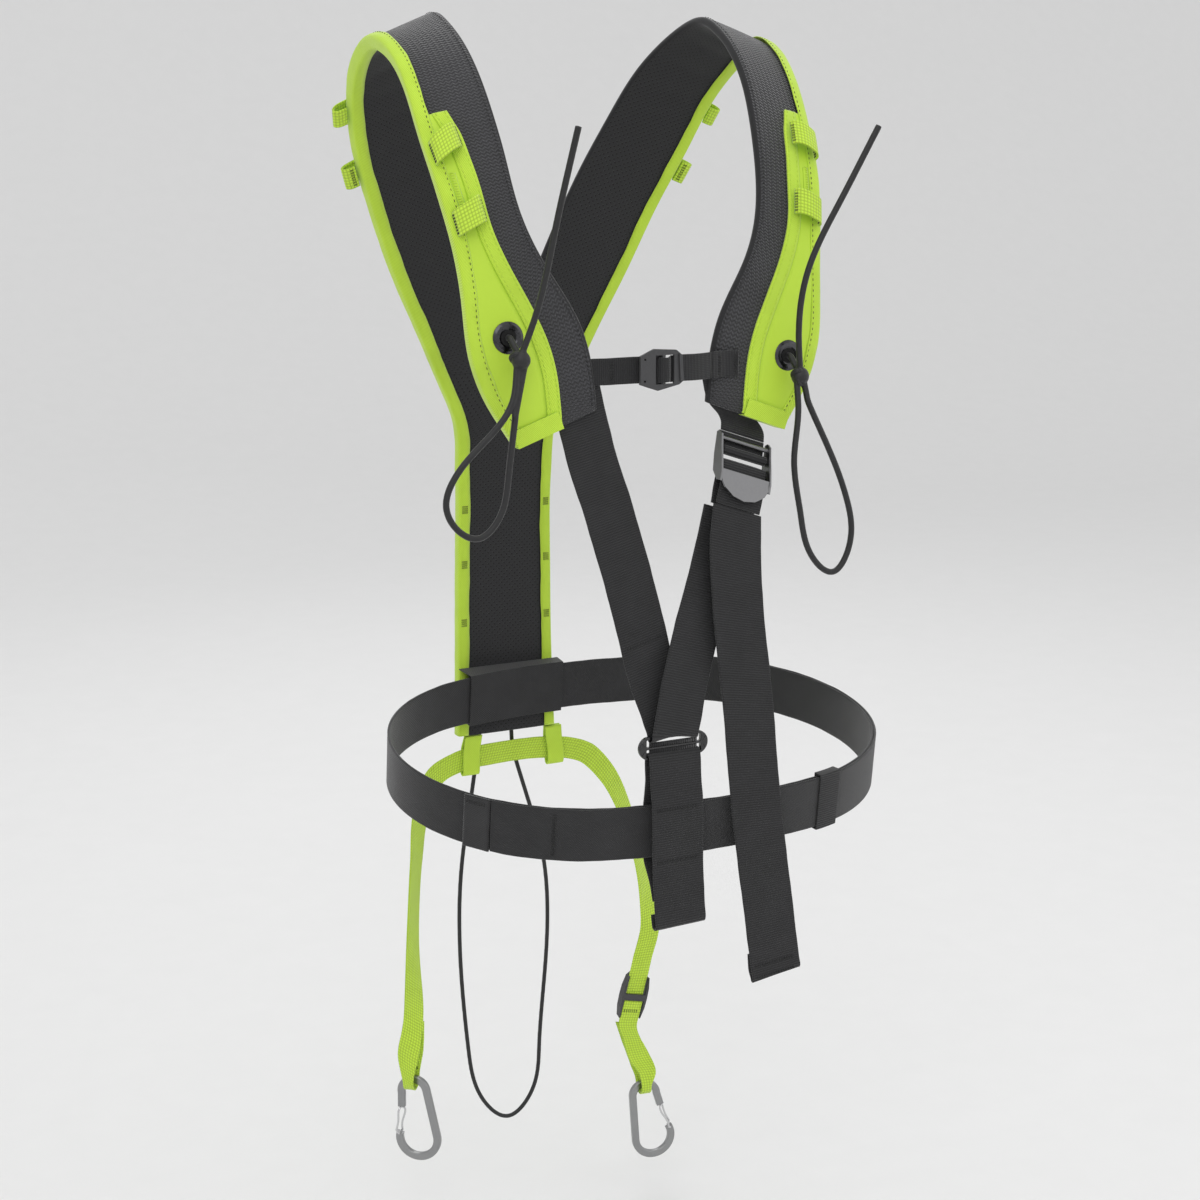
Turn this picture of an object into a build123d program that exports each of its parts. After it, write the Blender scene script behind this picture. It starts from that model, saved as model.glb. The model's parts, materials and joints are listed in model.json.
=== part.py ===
from build123d import *
import math
import os

# Chest harness worn with a tree climbing saddle: padded Y-back yoke, sternum strap, front V strap,
# waist belt, accessory leash with two carabiners, and elastic cords.
# Millimetres. The wearer faces -Y, +X is the wearer's left, +Z is up.
# The origin is the centre of the waist, at the belt's mid height on the yoke's mid-plane.

os.makedirs("parts", exist_ok=True)

# ---- driving dimensions -------------------------------------------------------------------------
LINING = 1.2                 # perforated lining thickness
FOAM = 5.0                   # foam thickness
OUTER = 1.8                  # coarse outer webbing thickness
PLY_GAP = 0.3                # air between sewn layers
PANEL = 1.0                  # pocket panel thickness
BINDING_TAPE = 1.0           # edge tape thickness
BINDING_LIP = 10.0           # how far the folded tape reaches in from the edge
BORDER_WIDTH = 11.0          # tape along the pocket's inner side
WEBBING = 1.6                # strap thickness
V_WIDTH = 40.0               # front V strap
CONNECTOR_WIDTH = 44.0       # strap below the V slider
STERNUM_WIDTH = 20.0
BELT_WIDTH = 43.0
BELT_PLY = 2.0               # belt thickness
BELT_TILT = math.atan(0.115)  # the belt sits lower in front than behind
BELT_CENTRE = (45.0, 4.0)
BELT_HALF_LENGTH = 208.0     # centre to side, in the belt's plane
BELT_HALF_DEPTH = 153.0      # centre to front
BELT_END_RADIUS = 147.0      # round ends of the oval
BELT_LAP = 2.4               # the overlapping ply lies this much further out
EYELET_HOLE = 6.4            # radius of the hole cut for an eyelet
CORD_RADIUS = 2.5            # chest cords
BACK_CORD_RADIUS = 2.0
BAR_WIDTH = 7.0              # carabiner bar, in its plane
BAR_THICKNESS = 5.0

STRETCH = 3                  # cross-sections per face along a strap

PAD_HALF = (LINING + FOAM + OUTER) / 2 + PLY_GAP
FRONT = Vector(0, -1, 0)

# Outer edge of the wearer's-left half yoke: up the stem's side, then the arm side of the pad,
# over the shoulder and down to the end on the chest.
OUTER_EDGE = [
    (47, 168.5, -20), (45, 170, 60), (44, 169, 140), (44, 166, 212), (48, 161, 262), (67, 155, 304),
    (76, 152.5, 324), (86, 149.5, 345), (107, 142, 388), (130, 130, 443), (149, 112, 490),
    (160, 91, 528), (166, 66, 552), (168, 38, 567), (168, 12, 571), (166, -13, 562),
    (164, -38, 540), (162, -60, 507), (158, -82, 470), (152, -97, 430), (148, -105, 388),
    (144, -110, 345), (131, -112.5, 312), (113, -113.5, 284)]
# Inner edge: the mid-plane along the stem, then the neck side of the pad.
INNER_EDGE = [
    (1.2, 168.5, -20), (1.2, 170, 60), (1.2, 169, 140), (1.2, 166, 212), (1.2, 161, 262),
    (1.2, 155, 305), (1.2, 154, 329), (10, 152, 356), (34, 149, 411), (58, 137, 470),
    (78, 119, 517), (92, 95, 554), (103, 69, 577), (110, 44, 590), (112, 20, 593),
    (112, -2, 585), (111, -26, 571), (109, -53, 545), (105, -78, 502), (99, -95, 455),
    (82, -107, 412), (56, -112, 366), (48, -113.5, 332), (46, -114, 308)]
SEAM = 5                     # station where the stem meets the shoulder pads
END = len(OUTER_EDGE) - 1    # station of the pad's lower end
POCKET_TOP = 16.6            # station where the pocket starts below the shoulder


# ---- geometry helpers ---------------------------------------------------------------------------
def slope(points, i):
    """Direction per millimetre of the smooth curve at point i."""
    last = len(points) - 1
    if i in (0, last):
        return (points[min(i + 1, last)] - points[max(i - 1, 0)]).normalized()
    before, after = points[i] - points[i - 1], points[i + 1] - points[i]
    a, b = before.length, after.length
    return (before * (b / a) + after * (a / b)) * (1 / (a + b))


def on_curve(points, s):
    """Point at station s (0 is the first point, 1 the second) of a smooth curve through points."""
    k = max(0, min(math.floor(s), len(points) - 2))
    t = s - k
    start, stop = points[k], points[k + 1]
    length = (stop - start).length
    leave, arrive = slope(points, k) * length, slope(points, k + 1) * length
    ease = 3 * t ** 2 - 2 * t ** 3
    return (start + (stop - start) * ease + leave * (t ** 3 - 2 * t ** 2 + t)
            + arrive * (t ** 3 - t ** 2))


class Band:
    """A strip of cloth between two edges; its thickness is along ahead x across."""

    def __init__(self, edge_a, edge_b):
        self.a = [Vector(*p) for p in edge_a]
        self.b = [Vector(*p) for p in edge_b]
        self.last = len(self.a) - 1

    def middle(self, s):
        return (on_curve(self.a, s) + on_curve(self.b, s)) * 0.5

    def at(self, s, u, shift=0.0, lift=0.0):
        """Point at station s, u across (0 is edge a, 1 is edge b), shift mm further, lift mm out."""
        a, b = on_curve(self.a, s), on_curve(self.b, s)
        across = (b - a).normalized()
        ahead = self.middle(min(s + 0.05, self.last)) - self.middle(max(s - 0.05, 0))
        return a + (b - a) * u + across * shift + ahead.cross(across).normalized() * lift

    def walls(self, outline, stations):
        """Side faces of a stretch of the solid, between smooth rails through its stations."""
        sections = [[self.at(s, *corner) for corner in outline(s)] for s in stations]
        spans = [(self.middle(b) - self.middle(a)).length for a, b in zip(stations, stations[1:])]
        total = sum(spans)
        knots = [sum(spans[:i]) / total for i in range(len(stations))]
        rails = []
        for index, points in enumerate(zip(*sections)):
            ends = []
            for s in (stations[0], stations[-1]):
                before, after = max(s - 0.01, 0), min(s + 0.01, self.last)
                advance = (self.middle(after) - self.middle(before)).length
                step = self.at(after, *outline(after)[index]) - self.at(before, *outline(before)[index])
                ends.append(step * (total / advance))
            rails.append(Edge.make_spline(list(points), tangents=ends, parameters=knots, scale=False))
        pairs = zip(rails, rails[1:] + rails[:1])
        return [Face.make_surface_from_curves(rail, following) for rail, following in pairs]

    def solid(self, outline, start=0.0, stop=None, per_station=1):
        """Solid whose cross-section at s is the polygon outline(s) of (u, shift, lift) corners."""
        stop = self.last if stop is None else stop
        first, last = math.floor(start * per_station) + 1, math.ceil(stop * per_station)
        faces, stretch = [], [start]
        for s in [k / per_station for k in range(first, last)] + [stop]:
            stretch.append(s)
            if s == stop or s * per_station % STRETCH == 0:
                faces += self.walls(outline, stretch)
                stretch = [s]
        for s in (start, stop):
            corners = [self.at(s, *corner) for corner in outline(s)]
            faces.append(Face(Wire.make_polygon(corners, close=True)))
        return Solid(Shell(faces)).fix()

    def sheet(self, low, high, start=0.0, stop=None, margin_a=0.0, margin_b=0.0, per_station=1):
        """A flat layer from lift low to lift high, inset from both edges."""
        return self.solid(lambda s: [(0, margin_a, low), (1, -margin_b, low), (1, -margin_b, high),
                                     (0, margin_a, high)], start, stop, per_station)


def side_vectors(centres, facing):
    """Across-direction at each centre so that the strap's outer face looks along facing."""
    sides = []
    for i in range(len(centres)):
        ahead = centres[min(i + 1, len(centres) - 1)] - centres[max(i - 1, 0)]
        face = facing[i] if isinstance(facing, list) else facing
        sides.append(face.cross(ahead).normalized())
    return sides


def strap(points, width, facing=FRONT, sides=None):
    """Band of constant width (or a list of widths) along points."""
    centres = [Vector(*p) for p in points]
    widths = width if isinstance(width, list) else [width] * len(centres)
    if sides is None:
        sides = side_vectors(centres, facing)
    edge_a = [c - v * (w / 2) for c, v, w in zip(centres, sides, widths)]
    edge_b = [c + v * (w / 2) for c, v, w in zip(centres, sides, widths)]
    return Band(edge_a, edge_b)


def turn(centre, radius, start, stop, steps, out, up=Vector(0, 0, 1)):
    """Points on an arc in the plane of the unit vectors out and up, angles in degrees from out."""
    points = []
    for i in range(steps + 1):
        angle = math.radians(start + (stop - start) * i / steps)
        point = Vector(*centre) + out * (radius * math.cos(angle)) + up * (radius * math.sin(angle))
        points.append(point)
    return points


def cord(points, radius):
    """Round cord along a smooth curve through points."""
    knots = [Vector(*p) for p in points]
    path = Edge.make_spline(knots, tangents=[slope(knots, 0), slope(knots, len(knots) - 1)])
    section = Plane(origin=path @ 0, z_dir=path % 0) * Circle(radius)
    return sweep(section, path=path)


def rod(start, stop, radius):
    """Straight round bar between two points."""
    start, stop = Vector(*start), Vector(*stop)
    plane = Plane(origin=start, z_dir=stop - start)
    return plane * Cylinder(radius, (stop - start).length, align=(Align.CENTER, Align.CENTER, Align.MIN))


def opposite(shape):
    """The same piece on the wearer's right side."""
    return mirror(shape, about=Plane.YZ)


def save(name, *solids):
    """One STEP file per node; a group of alike pieces shares a file."""
    shape = solids[0] if len(solids) == 1 else Compound(children=list(solids))
    shape.label = name
    export_step(shape, f"parts/{name}.step")


# ---- padded yoke --------------------------------------------------------------------------------
half_yoke = Band(INNER_EDGE, OUTER_EDGE)
STEM_EDGE = OUTER_EDGE[:SEAM + 3]                # runs on past the seam so that its curve matches
stem = Band([(-x, y, z) for x, y, z in STEM_EDGE], STEM_EDGE)
INSET = BINDING_TAPE + 0.4                       # pad layers stop short of the taped edge
LINING_LIFT = (-PAD_HALF, -PAD_HALF + LINING)
FOAM_LIFT = (LINING_LIFT[1] + PLY_GAP, LINING_LIFT[1] + PLY_GAP + FOAM)
OUTER_LIFT = (FOAM_LIFT[1] + PLY_GAP, FOAM_LIFT[1] + PLY_GAP + OUTER)
PANEL_LIFT = (OUTER_LIFT[1] + PLY_GAP, OUTER_LIFT[1] + PLY_GAP + PANEL)
TAPE_INSIDE = (-PAD_HALF - PLY_GAP, PANEL_LIFT[1] + PLY_GAP)
TAPE_OUTSIDE = (TAPE_INSIDE[0] - BINDING_TAPE, TAPE_INSIDE[1] + BINDING_TAPE)
LAYERS = {"lining": LINING_LIFT, "foam": FOAM_LIFT, "outer": OUTER_LIFT}
PAD_START = SEAM + 0.02                          # the pads start just above the stem's seam


def pocket_edge(s):
    """Distance of the pocket's inner side from the neck edge at station s."""
    corners = [(POCKET_TOP, 48), (17.3, 33), (18.5, 28), (20, 27), (21.5, 30), (END, 33)]
    for (s0, d0), (s1, d1) in zip(corners, corners[1:]):
        if s <= s1:
            blend = (s - s0) / (s1 - s0)
            return d0 + (d1 - d0) * (3 * blend ** 2 - 2 * blend ** 3)
    return corners[-1][1]


EYELET_STATION = {"left": (21.35, 0.72), "right": (20.75, 0.66)}


def eyelet_plane(side):
    """Plane on the pad's surface under an eyelet, facing out; built on the wearer's left."""
    s, u = EYELET_STATION[side]
    centre = half_yoke.at(s, u)
    return Plane(origin=centre, z_dir=half_yoke.at(s, u, 0, 1) - centre)


def eyelet_hole(side):
    return eyelet_plane(side) * Cylinder(EYELET_HOLE, 30)


def binding_outline(s):
    """Folded tape round the outer edge."""
    low, high = TAPE_INSIDE
    under, over = TAPE_OUTSIDE
    return [(1, -BINDING_LIP, over), (1, -0.8, over), (1, 0, over - 0.8), (1, 0, under + 0.8),
            (1, -0.8, under), (1, -BINDING_LIP, under), (1, -BINDING_LIP, low),
            (1, -BINDING_TAPE, low), (1, -BINDING_TAPE, high), (1, -BINDING_LIP, high)]


def panel_outline(s):
    """Pocket panel from its border tape to just short of the taped edge."""
    start = pocket_edge(s) + BORDER_WIDTH + PLY_GAP
    low, high = PANEL_LIFT
    return [(0, start, low), (1, -INSET, low), (1, -INSET, high), (0, start, high)]


def border_outline(s):
    """Tape along the pocket's inner side."""
    start = pocket_edge(s)
    low, high = PANEL_LIFT[0], PANEL_LIFT[1] + 0.6
    return [(0, start, low), (0, start + BORDER_WIDTH, low), (0, start + BORDER_WIDTH, high),
            (0, start, high)]


def end_tape():
    """Folded tape over the pocket's lower end: a U of three plies round the pad's end."""
    across_a = (0, pocket_edge(END) - 1)
    under, over = TAPE_OUTSIDE
    length = 12.0
    drop = (half_yoke.middle(END) - half_yoke.middle(END - 0.05)).normalized()
    corners_in = half_yoke.at(END, *across_a), half_yoke.at(END, 1, -0.5)
    normal = (half_yoke.at(END, 1, 0, 1) - half_yoke.at(END, 1)).normalized()

    def box(back, front, low, high):
        rings = []
        for along in (back, front):
            ends = [corner + drop * along for corner in corners_in]
            ring = [ends[0] + normal * low, ends[1] + normal * low, ends[1] + normal * high,
                    ends[0] + normal * high]
            rings.append(Wire.make_polygon(ring, close=True))
        return Solid.make_loft(rings)

    front_ply = box(-length, 1.6, over + 0.3, over + 1.3)
    back_ply = box(-length, 1.6, under - 1.3, under - 0.3)
    return front_ply + back_ply + box(0.6, 1.6, under - 0.4, over + 0.4)


def front_gear_loop(s):
    """Webbing arch across the pocket, standing proud of the panel."""
    half = 0.21
    rise = [(-27.5, 8.6), (-26.5, 11.5), (-22, 15), (-14, 16), (-7, 14.5), (-4.5, 11.5), (-4, 8.6)]
    low = [half_yoke.at(s - half, 1, shift, lift) for shift, lift in rise]
    high = [half_yoke.at(s + half, 1, shift, lift) for shift, lift in rise]
    return Band(low, high).sheet(-0.7, 0.7, per_station=2)


def rear_gear_loop(s):
    """Webbing loop that stands out from the pad's edge behind the shoulder."""
    half = 0.17
    fold = [(-12, 8.9), (-4, 9.1), (4, 8.6), (10, 6.9), (12.6, 4), (11, 1.4), (6.5, 0.4), (2.4, 0.6)]
    low = [half_yoke.at(s - half, 1, shift, lift) for shift, lift in fold]
    high = [half_yoke.at(s + half, 1, shift, lift) for shift, lift in fold]
    return Band(low, high).sheet(-0.7, 0.7, per_station=2)


def eyelet(side):
    """Flanged metal ring through the pad."""
    plane = eyelet_plane(side)
    profile = Polyline((5.2, -PAD_HALF), (6.1, -PAD_HALF), (6.1, PANEL_LIFT[1] + 0.2),
                       (11.4, PANEL_LIFT[1] + 0.2), (11.9, PANEL_LIFT[1] + 0.9),
                       (9.6, PANEL_LIFT[1] + 2.0), (7.0, PANEL_LIFT[1] + 2.0),
                       (5.2, PANEL_LIFT[1] + 1.0), (5.2, -PAD_HALF))
    face = Plane.XZ * make_face(profile)
    return plane * revolve(face, Axis.Z, 360)


def eyelet_washer(side):
    """Ring clenched on the body side."""
    ring = Cylinder(10.0, 0.8) - Cylinder(5.3, 2.0)
    return eyelet_plane(side) * (Pos(0, 0, -PAD_HALF - 0.7) * ring)


def build_yoke():
    for layer, (low, high) in LAYERS.items():
        save(f"stem_{layer}", stem.sheet(low, high, 0, SEAM, INSET, INSET))
    for side in ("left", "right"):
        hole = eyelet_hole(side)
        pieces = {}
        for layer, (low, high) in LAYERS.items():
            pieces[f"shoulder_{layer}"] = half_yoke.sheet(low, high, PAD_START, END,
                                                          margin_b=INSET) - hole
        pieces["edge_binding"] = half_yoke.solid(binding_outline, 0, END)
        pieces["pocket_panel"] = half_yoke.solid(panel_outline, POCKET_TOP + 0.3, END, 2) - hole
        pieces["pocket_border"] = half_yoke.solid(border_outline, POCKET_TOP + 0.3, END, 2)
        pieces["pocket_end_tape"] = end_tape()
        pieces["eyelet"] = eyelet(side)
        pieces["eyelet_washer"] = eyelet_washer(side)
        pieces["front_gear_loops"] = [front_gear_loop(17.55), front_gear_loop(18.75)]
        pieces["rear_gear_loops"] = [rear_gear_loop(9.62), rear_gear_loop(10.75)]
        for name, piece in pieces.items():
            group = piece if isinstance(piece, list) else [piece]
            if side == "right":
                group = [opposite(member) for member in group]
            save(f"{side}_{name}", *group)


# ---- front V strap, slider and connector --------------------------------------------------------
SLIDER = (2.0, -149.0, 51.0)
SLIDER_BAR_OFFSET = 8.0      # end bars above and below the slider's centre
WRAP = 3.6                   # strap centre line round a slider bar


def build_v_strap():
    """Webbing from the wearer's-right pad, round the slider's top bar, up to the adjuster."""
    x, y, z = SLIDER
    bar = (x, y, z + SLIDER_BAR_OFFSET)
    down = [(-63, -113.4, 324), (-58, -114, 302), (-51, -117.5, 270), (-42.5, -122, 240),
            (-23, -131.5, 163), (-8, -139.5, 96), (-1, -144, 72)]
    wrap = turn(bar, WRAP, 180, 360, 6, FRONT)
    up = [(5, -151.8, 72), (11, -148, 92), (23, -142.5, 129), (44, -136, 189), (56, -130.5, 226)]
    centres = down + wrap + up
    sides = side_vectors([Vector(*p) for p in down], FRONT)
    sides[-1] = Vector(1, 0, 0.12).normalized()
    sides += [Vector(1, 0, 0)] * len(wrap)
    rising = side_vectors([Vector(*p) for p in up], FRONT)
    sides += [side * -1 for side in rising]
    band = strap(centres, V_WIDTH, sides=sides)
    save("v_strap", band.sheet(-WEBBING / 2, WEBBING / 2, per_station=2))


def build_slider():
    """Three-bar slider: rounded plate with two slots."""
    plate = SlotOverall(59, 18.6)
    slots = [Pos(0, sign * 3.85) * Rectangle(46.5, 5.7) for sign in (-1, 1)]
    body = extrude(plate - slots[0] - slots[1], 2.0, both=True)
    plane = Plane(origin=SLIDER, x_dir=(1, 0, 0), z_dir=FRONT)
    save("v_slider", plane * body)


def build_connector():
    """Strap folded round the slider's lower bar; the belt runs between its two plies."""
    x, y, z = SLIDER
    bar = (x, y, z - SLIDER_BAR_OFFSET)
    back = [(6.8, -149.6, -72), (5.6, -146.2, -56), (4.6, -139.8, -43), (3.9, -137.8, -30),
            (3.3, -138.4, -14), (2.6, -141.5, 4), (2.2, -145.3, 22)]
    wrap = turn(bar, WRAP, 180, 0, 6, FRONT)
    front = [(2.2, -154.2, 22), (2.8, -156.2, 4), (3.8, -155.0, -18), (4.8, -153.4, -40),
             (6.2, -152.8, -62), (7.4, -152.8, -84)]
    fold = turn((8, -150, -92.5), 2.9, 0, -180, 5, FRONT)
    centres = back + wrap + front + fold + [(7.2, -146.9, -84)]
    leaning, level = Vector(1, 0, 0.035).normalized(), Vector(1, 0, 0)
    sides = [leaning] * (len(back) - 1) + [level] * (len(wrap) + 2) + [leaning] * (len(front) + len(fold))
    band = strap(centres, CONNECTOR_WIDTH, sides=sides)
    save("connector_strap", band.sheet(-WEBBING / 2, WEBBING / 2, per_station=2))


# ---- adjuster -----------------------------------------------------------------------------------
ADJUSTER = Plane(origin=(76, -120, 273.5), x_dir=(0.946, 0, -0.323), z_dir=(0.124, -0.925, 0.364))
TOP_BAR = (0.0, 1.5)         # height along the plane, distance out of it
LOOP_BAR = (-9.0, 1.5)
GRIP_BAR = (-20.0, 1.0)
ADJUSTER_HALF = 21.5         # half the clear width between the cheeks
TAIL_TOP = ADJUSTER.from_local_coords(Vector(0, -53, 0.5))


def adjuster_band(profile):
    """Strap through the adjuster from (height, out) pairs in its middle section."""
    centres = [ADJUSTER.from_local_coords(Vector(0, height, out)) for height, out in profile]
    return strap(centres, V_WIDTH, sides=[ADJUSTER.x_dir] * len(centres))


def ring(bar, radius, start, stop, steps=5):
    """(height, out) pairs round a bar; 0 degrees is straight out, 90 is up."""
    angles = [math.radians(start + (stop - start) * i / steps) for i in range(steps + 1)]
    return [(bar[0] + radius * math.sin(a), bar[1] + radius * math.cos(a)) for a in angles]


def build_adjuster():
    cheek_profile = [(5, -2), (5.5, 1.5), (2, 5), (-8, 6.2), (-20, 8.2), (-30, 9.5), (-37, 8.5),
                     (-35, 3), (-26, -3), (-12, -3.5)]
    frame = None
    for sign in (-1, 1):
        plane = Plane(origin=(sign * (ADJUSTER_HALF + 0.8), 0, 0), x_dir=(0, 1, 0), z_dir=(1, 0, 0))
        cheek = extrude(plane * make_face(Polyline(*cheek_profile, close=True)), 0.8, both=True)
        for bar in (LOOP_BAR, GRIP_BAR):
            cheek -= Pos(sign * (ADJUSTER_HALF + 0.8), *bar) * Rot(0, 90, 0) * Cylinder(1.55, 4)
        frame = cheek if frame is None else frame + cheek
    frame += Pos(0, *TOP_BAR) * Rot(0, 90, 0) * Cylinder(1.9, 2 * ADJUSTER_HALF + 1)
    lip_outline = [(-22.8, -27), (22.8, -27), (22.8, -33), (18, -41), (10, -46.5), (0, -48.5),
                   (-10, -46.5), (-18, -41), (-22.8, -33)]
    lip = extrude(make_face(Polyline(*lip_outline, close=True)), 1.5)
    frame += Pos(0, 0, 7.2) * lip
    save("adjuster_frame", ADJUSTER * frame)
    bars = []
    for bar in (LOOP_BAR, GRIP_BAR):
        core = Cylinder(1.5, 2 * ADJUSTER_HALF + 3.2) + Cylinder(2.0, 2 * ADJUSTER_HALF - 0.6)
        bars.append(ADJUSTER * (Pos(0, *bar) * Rot(0, 90, 0) * core))
    save("adjuster_bars", *bars)
    thread = 3.1             # webbing centre line round a bar
    loop = [(6.5, -1.7), (0, -1.7), (-5, -1.6)] + ring(LOOP_BAR, thread, 180, 400, 8)
    save("adjuster_loop_webbing", adjuster_band(loop).sheet(-WEBBING / 2, WEBBING / 2, per_station=2))
    thread_path = [(-49, -6.5), (-38, -5), (-28, -3)] + ring(GRIP_BAR, thread, 180, 0, 6)
    thread_path += [(-25, 4.2), (-33, 4.4), (-42, 3.2), (-51, 1.2)]
    webbing = adjuster_band(thread_path).sheet(-WEBBING / 2, WEBBING / 2, per_station=2)
    save("adjuster_threaded_webbing", webbing)
    entry = ADJUSTER.from_local_coords(Vector(0, 7.5, -1.8))
    approach = ADJUSTER.from_local_coords(Vector(0, 14, -2.6))
    short = [(62, -113.4, 326), (67, -113.8, 304), approach, entry]
    sides = [Vector(0.975, 0, -0.22), Vector(0.965, 0, -0.26), ADJUSTER.x_dir, ADJUSTER.x_dir]
    band = strap(short, V_WIDTH, sides=[side.normalized() for side in sides])
    save("adjuster_short_webbing", band.sheet(-WEBBING / 2, WEBBING / 2, per_station=3))


def build_tail():
    """Free end of the V strap, hanging from the adjuster to a folded hem."""
    path = [TAIL_TOP, (57, -144.5, 210), (57.5, -148, 158), (64.5, -153.5, 80),
            (70, -159, 0), (83, -161.5, -98), (89, -162, -140)]
    fold = turn((90, -160.6, -146), 1.4, 0, -180, 4, FRONT)
    path = path + fold + [(88, -159.2, -138), (86.5, -159.2, -124)]
    sides = side_vectors([Vector(*p) for p in path[:6]], FRONT)
    sides[0] = ADJUSTER.x_dir
    sides += [Vector(0.99, 0, 0.14).normalized()] * (len(path) - len(sides))
    band = strap(path, V_WIDTH + 4, sides=sides)
    save("strap_tail", band.sheet(-WEBBING / 2, WEBBING / 2, per_station=2))


# ---- sternum strap ------------------------------------------------------------------------------
STERNUM_Z = 336.0
STERNUM_HINGE = (47.5, -121.5)
BUCKLE = (0.0, -130.0)


def build_sternum():
    down = Vector(0, 0, -1)

    def level(points, width=STERNUM_WIDTH):
        spots = [(x, y, STERNUM_Z + dz) for x, y, dz in points]
        return strap(spots, width, sides=[down] * len(spots)).sheet(-0.7, 0.7, per_station=2)

    save("sternum_right_strap", level([(-62, -113.4, -1), (-50, -114.5, -1), (-36, -119.5, -0.6),
                                       (-22, -124, -0.2), (-8, -125.6, 0)]))
    hook = Pos(-2, -126.9, STERNUM_Z) * Box(14, 1.0, 24)
    hook += Pos(-9.5, -126.9, STERNUM_Z) * Box(4, 1.0, 16)
    save("sternum_hook", hook)
    outline = [(-18, 10.5), (-6.5, 15.5), (12, 14.2), (16.5, 10.5), (18, -9), (14.5, -11.6),
               (-3.5, -15.5), (-11, -13), (-18, -10.5)]
    plate = make_face(Polyline(*outline, close=True))
    plate -= Pos(2.4, 0) * Rectangle(15.5, 21.5)
    for z in (-8, 8):
        plate -= Pos(-14.2, z) * Circle(0.9)
    body = extrude(plate, 1.3, both=True)
    body += Pos(1.4, 0, 0.2) * Rot(90, 0, 0) * Cylinder(1.4, 23)
    lip = [(14.8, -9.6), (17.6, -8.6), (16.4, 10.2), (13.6, 11.4)]
    body += Pos(0, 0, 1.2) * extrude(make_face(Polyline(*lip, close=True)), 1.6)
    plane = Plane(origin=(BUCKLE[0], BUCKLE[1], STERNUM_Z), x_dir=(1, 0, 0), z_dir=FRONT)
    save("sternum_buckle", plane * body)
    wrap = [(7.5, 1.3, 0), (6.2, -1.6, 0), (4.4, -2.9, 0), (1.4, -3.0, 0), (-1.4, -1.6, 0),
            (-2.2, 0.6, 0)]
    spots = [(BUCKLE[0] + x, BUCKLE[1] + dy + 0.2, dz) for x, dy, dz in wrap]
    save("sternum_window_webbing", level(spots, STERNUM_WIDTH - 1.5))
    hinge_x, hinge_y = STERNUM_HINGE
    save("sternum_left_strap", level([(8.6, -127.8, 0), (19, -127.6, 0), (30, -126.2, 0),
                                      (hinge_x - 1.6, hinge_y - 0.15, 0)]))
    patch = [half_yoke.at(21.85, 0, shift, OUTER_LIFT[1] + 1.2) for shift in (-0.5, 12, 24)]
    spots = [(hinge_x, hinge_y, 0)] + [(p.X, p.Y, 0) for p in patch[1:]]
    save("sternum_left_patch", level(spots))


# ---- waist belt ---------------------------------------------------------------------------------
BELT_PLANE = Plane(origin=(BELT_CENTRE[0], BELT_CENTRE[1], BELT_CENTRE[1] * math.tan(BELT_TILT)),
                   x_dir=(1, 0, 0), z_dir=(0, -math.sin(BELT_TILT), math.cos(BELT_TILT)))
SIDE_RADIUS = ((BELT_HALF_LENGTH ** 2 - 2 * BELT_HALF_LENGTH * BELT_END_RADIUS + BELT_HALF_DEPTH ** 2)
               / (2 * (BELT_HALF_DEPTH - BELT_END_RADIUS)))
END_OFFSET = BELT_HALF_LENGTH - BELT_END_RADIUS
SIDE_OFFSET = SIDE_RADIUS - BELT_HALF_DEPTH
TURN_OVER = math.degrees(math.atan2(END_OFFSET, SIDE_OFFSET))


def belt_point(angle, out, height):
    """Point of the belt's oval where its outward normal has this angle (degrees, -90 is in front)."""
    a = math.radians(angle)
    normal = Vector(math.cos(a), math.sin(a), 0)
    from_front = abs((angle + 90) % 180)
    from_front = min(from_front, 180 - from_front)
    if from_front < TURN_OVER:
        centre = Vector(0, -math.copysign(SIDE_OFFSET, normal.Y), 0)
        radius = SIDE_RADIUS
    else:
        centre = Vector(math.copysign(END_OFFSET, normal.X), 0, 0)
        radius = BELT_END_RADIUS
    return BELT_PLANE.from_local_coords(centre + normal * (radius + out) + Vector(0, 0, height))


def belt_angles(start, stop):
    """Angles from start down to stop, closer together on the flat front and back."""
    angles = [start]
    while angles[-1] > stop:
        from_front = (angles[-1] + 90) % 180
        flat = min(from_front, 180 - from_front) < TURN_OVER + 1
        angles.append(angles[-1] - (2.8 if flat else 10.0))
    angles[-1] = stop
    return angles


def belt_band(angles, out):
    """Band along the oval; out is the offset from its centre line at an angle."""
    top = [belt_point(a, out(a), BELT_WIDTH / 2) for a in angles]
    bottom = [belt_point(a, out(a), -BELT_WIDTH / 2) for a in angles]
    return Band(top, bottom)


INNER_END = 40.0             # the under ply ends at the wearer's left rear
LAP_START, LAP_FULL = -283.0, -316.0
TAB_HINGE = -498.0           # the free end of the outer ply starts here
TAB_END = -507.0
KEEPER_ANGLE = -74.0


def lap_offset(angle):
    """The belt's second turn lies on top of its first."""
    blend = (LAP_START - angle) / (LAP_START - LAP_FULL)
    blend = max(0.0, min(1.0, blend))
    return BELT_LAP * (3 * blend ** 2 - 2 * blend ** 3)


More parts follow.
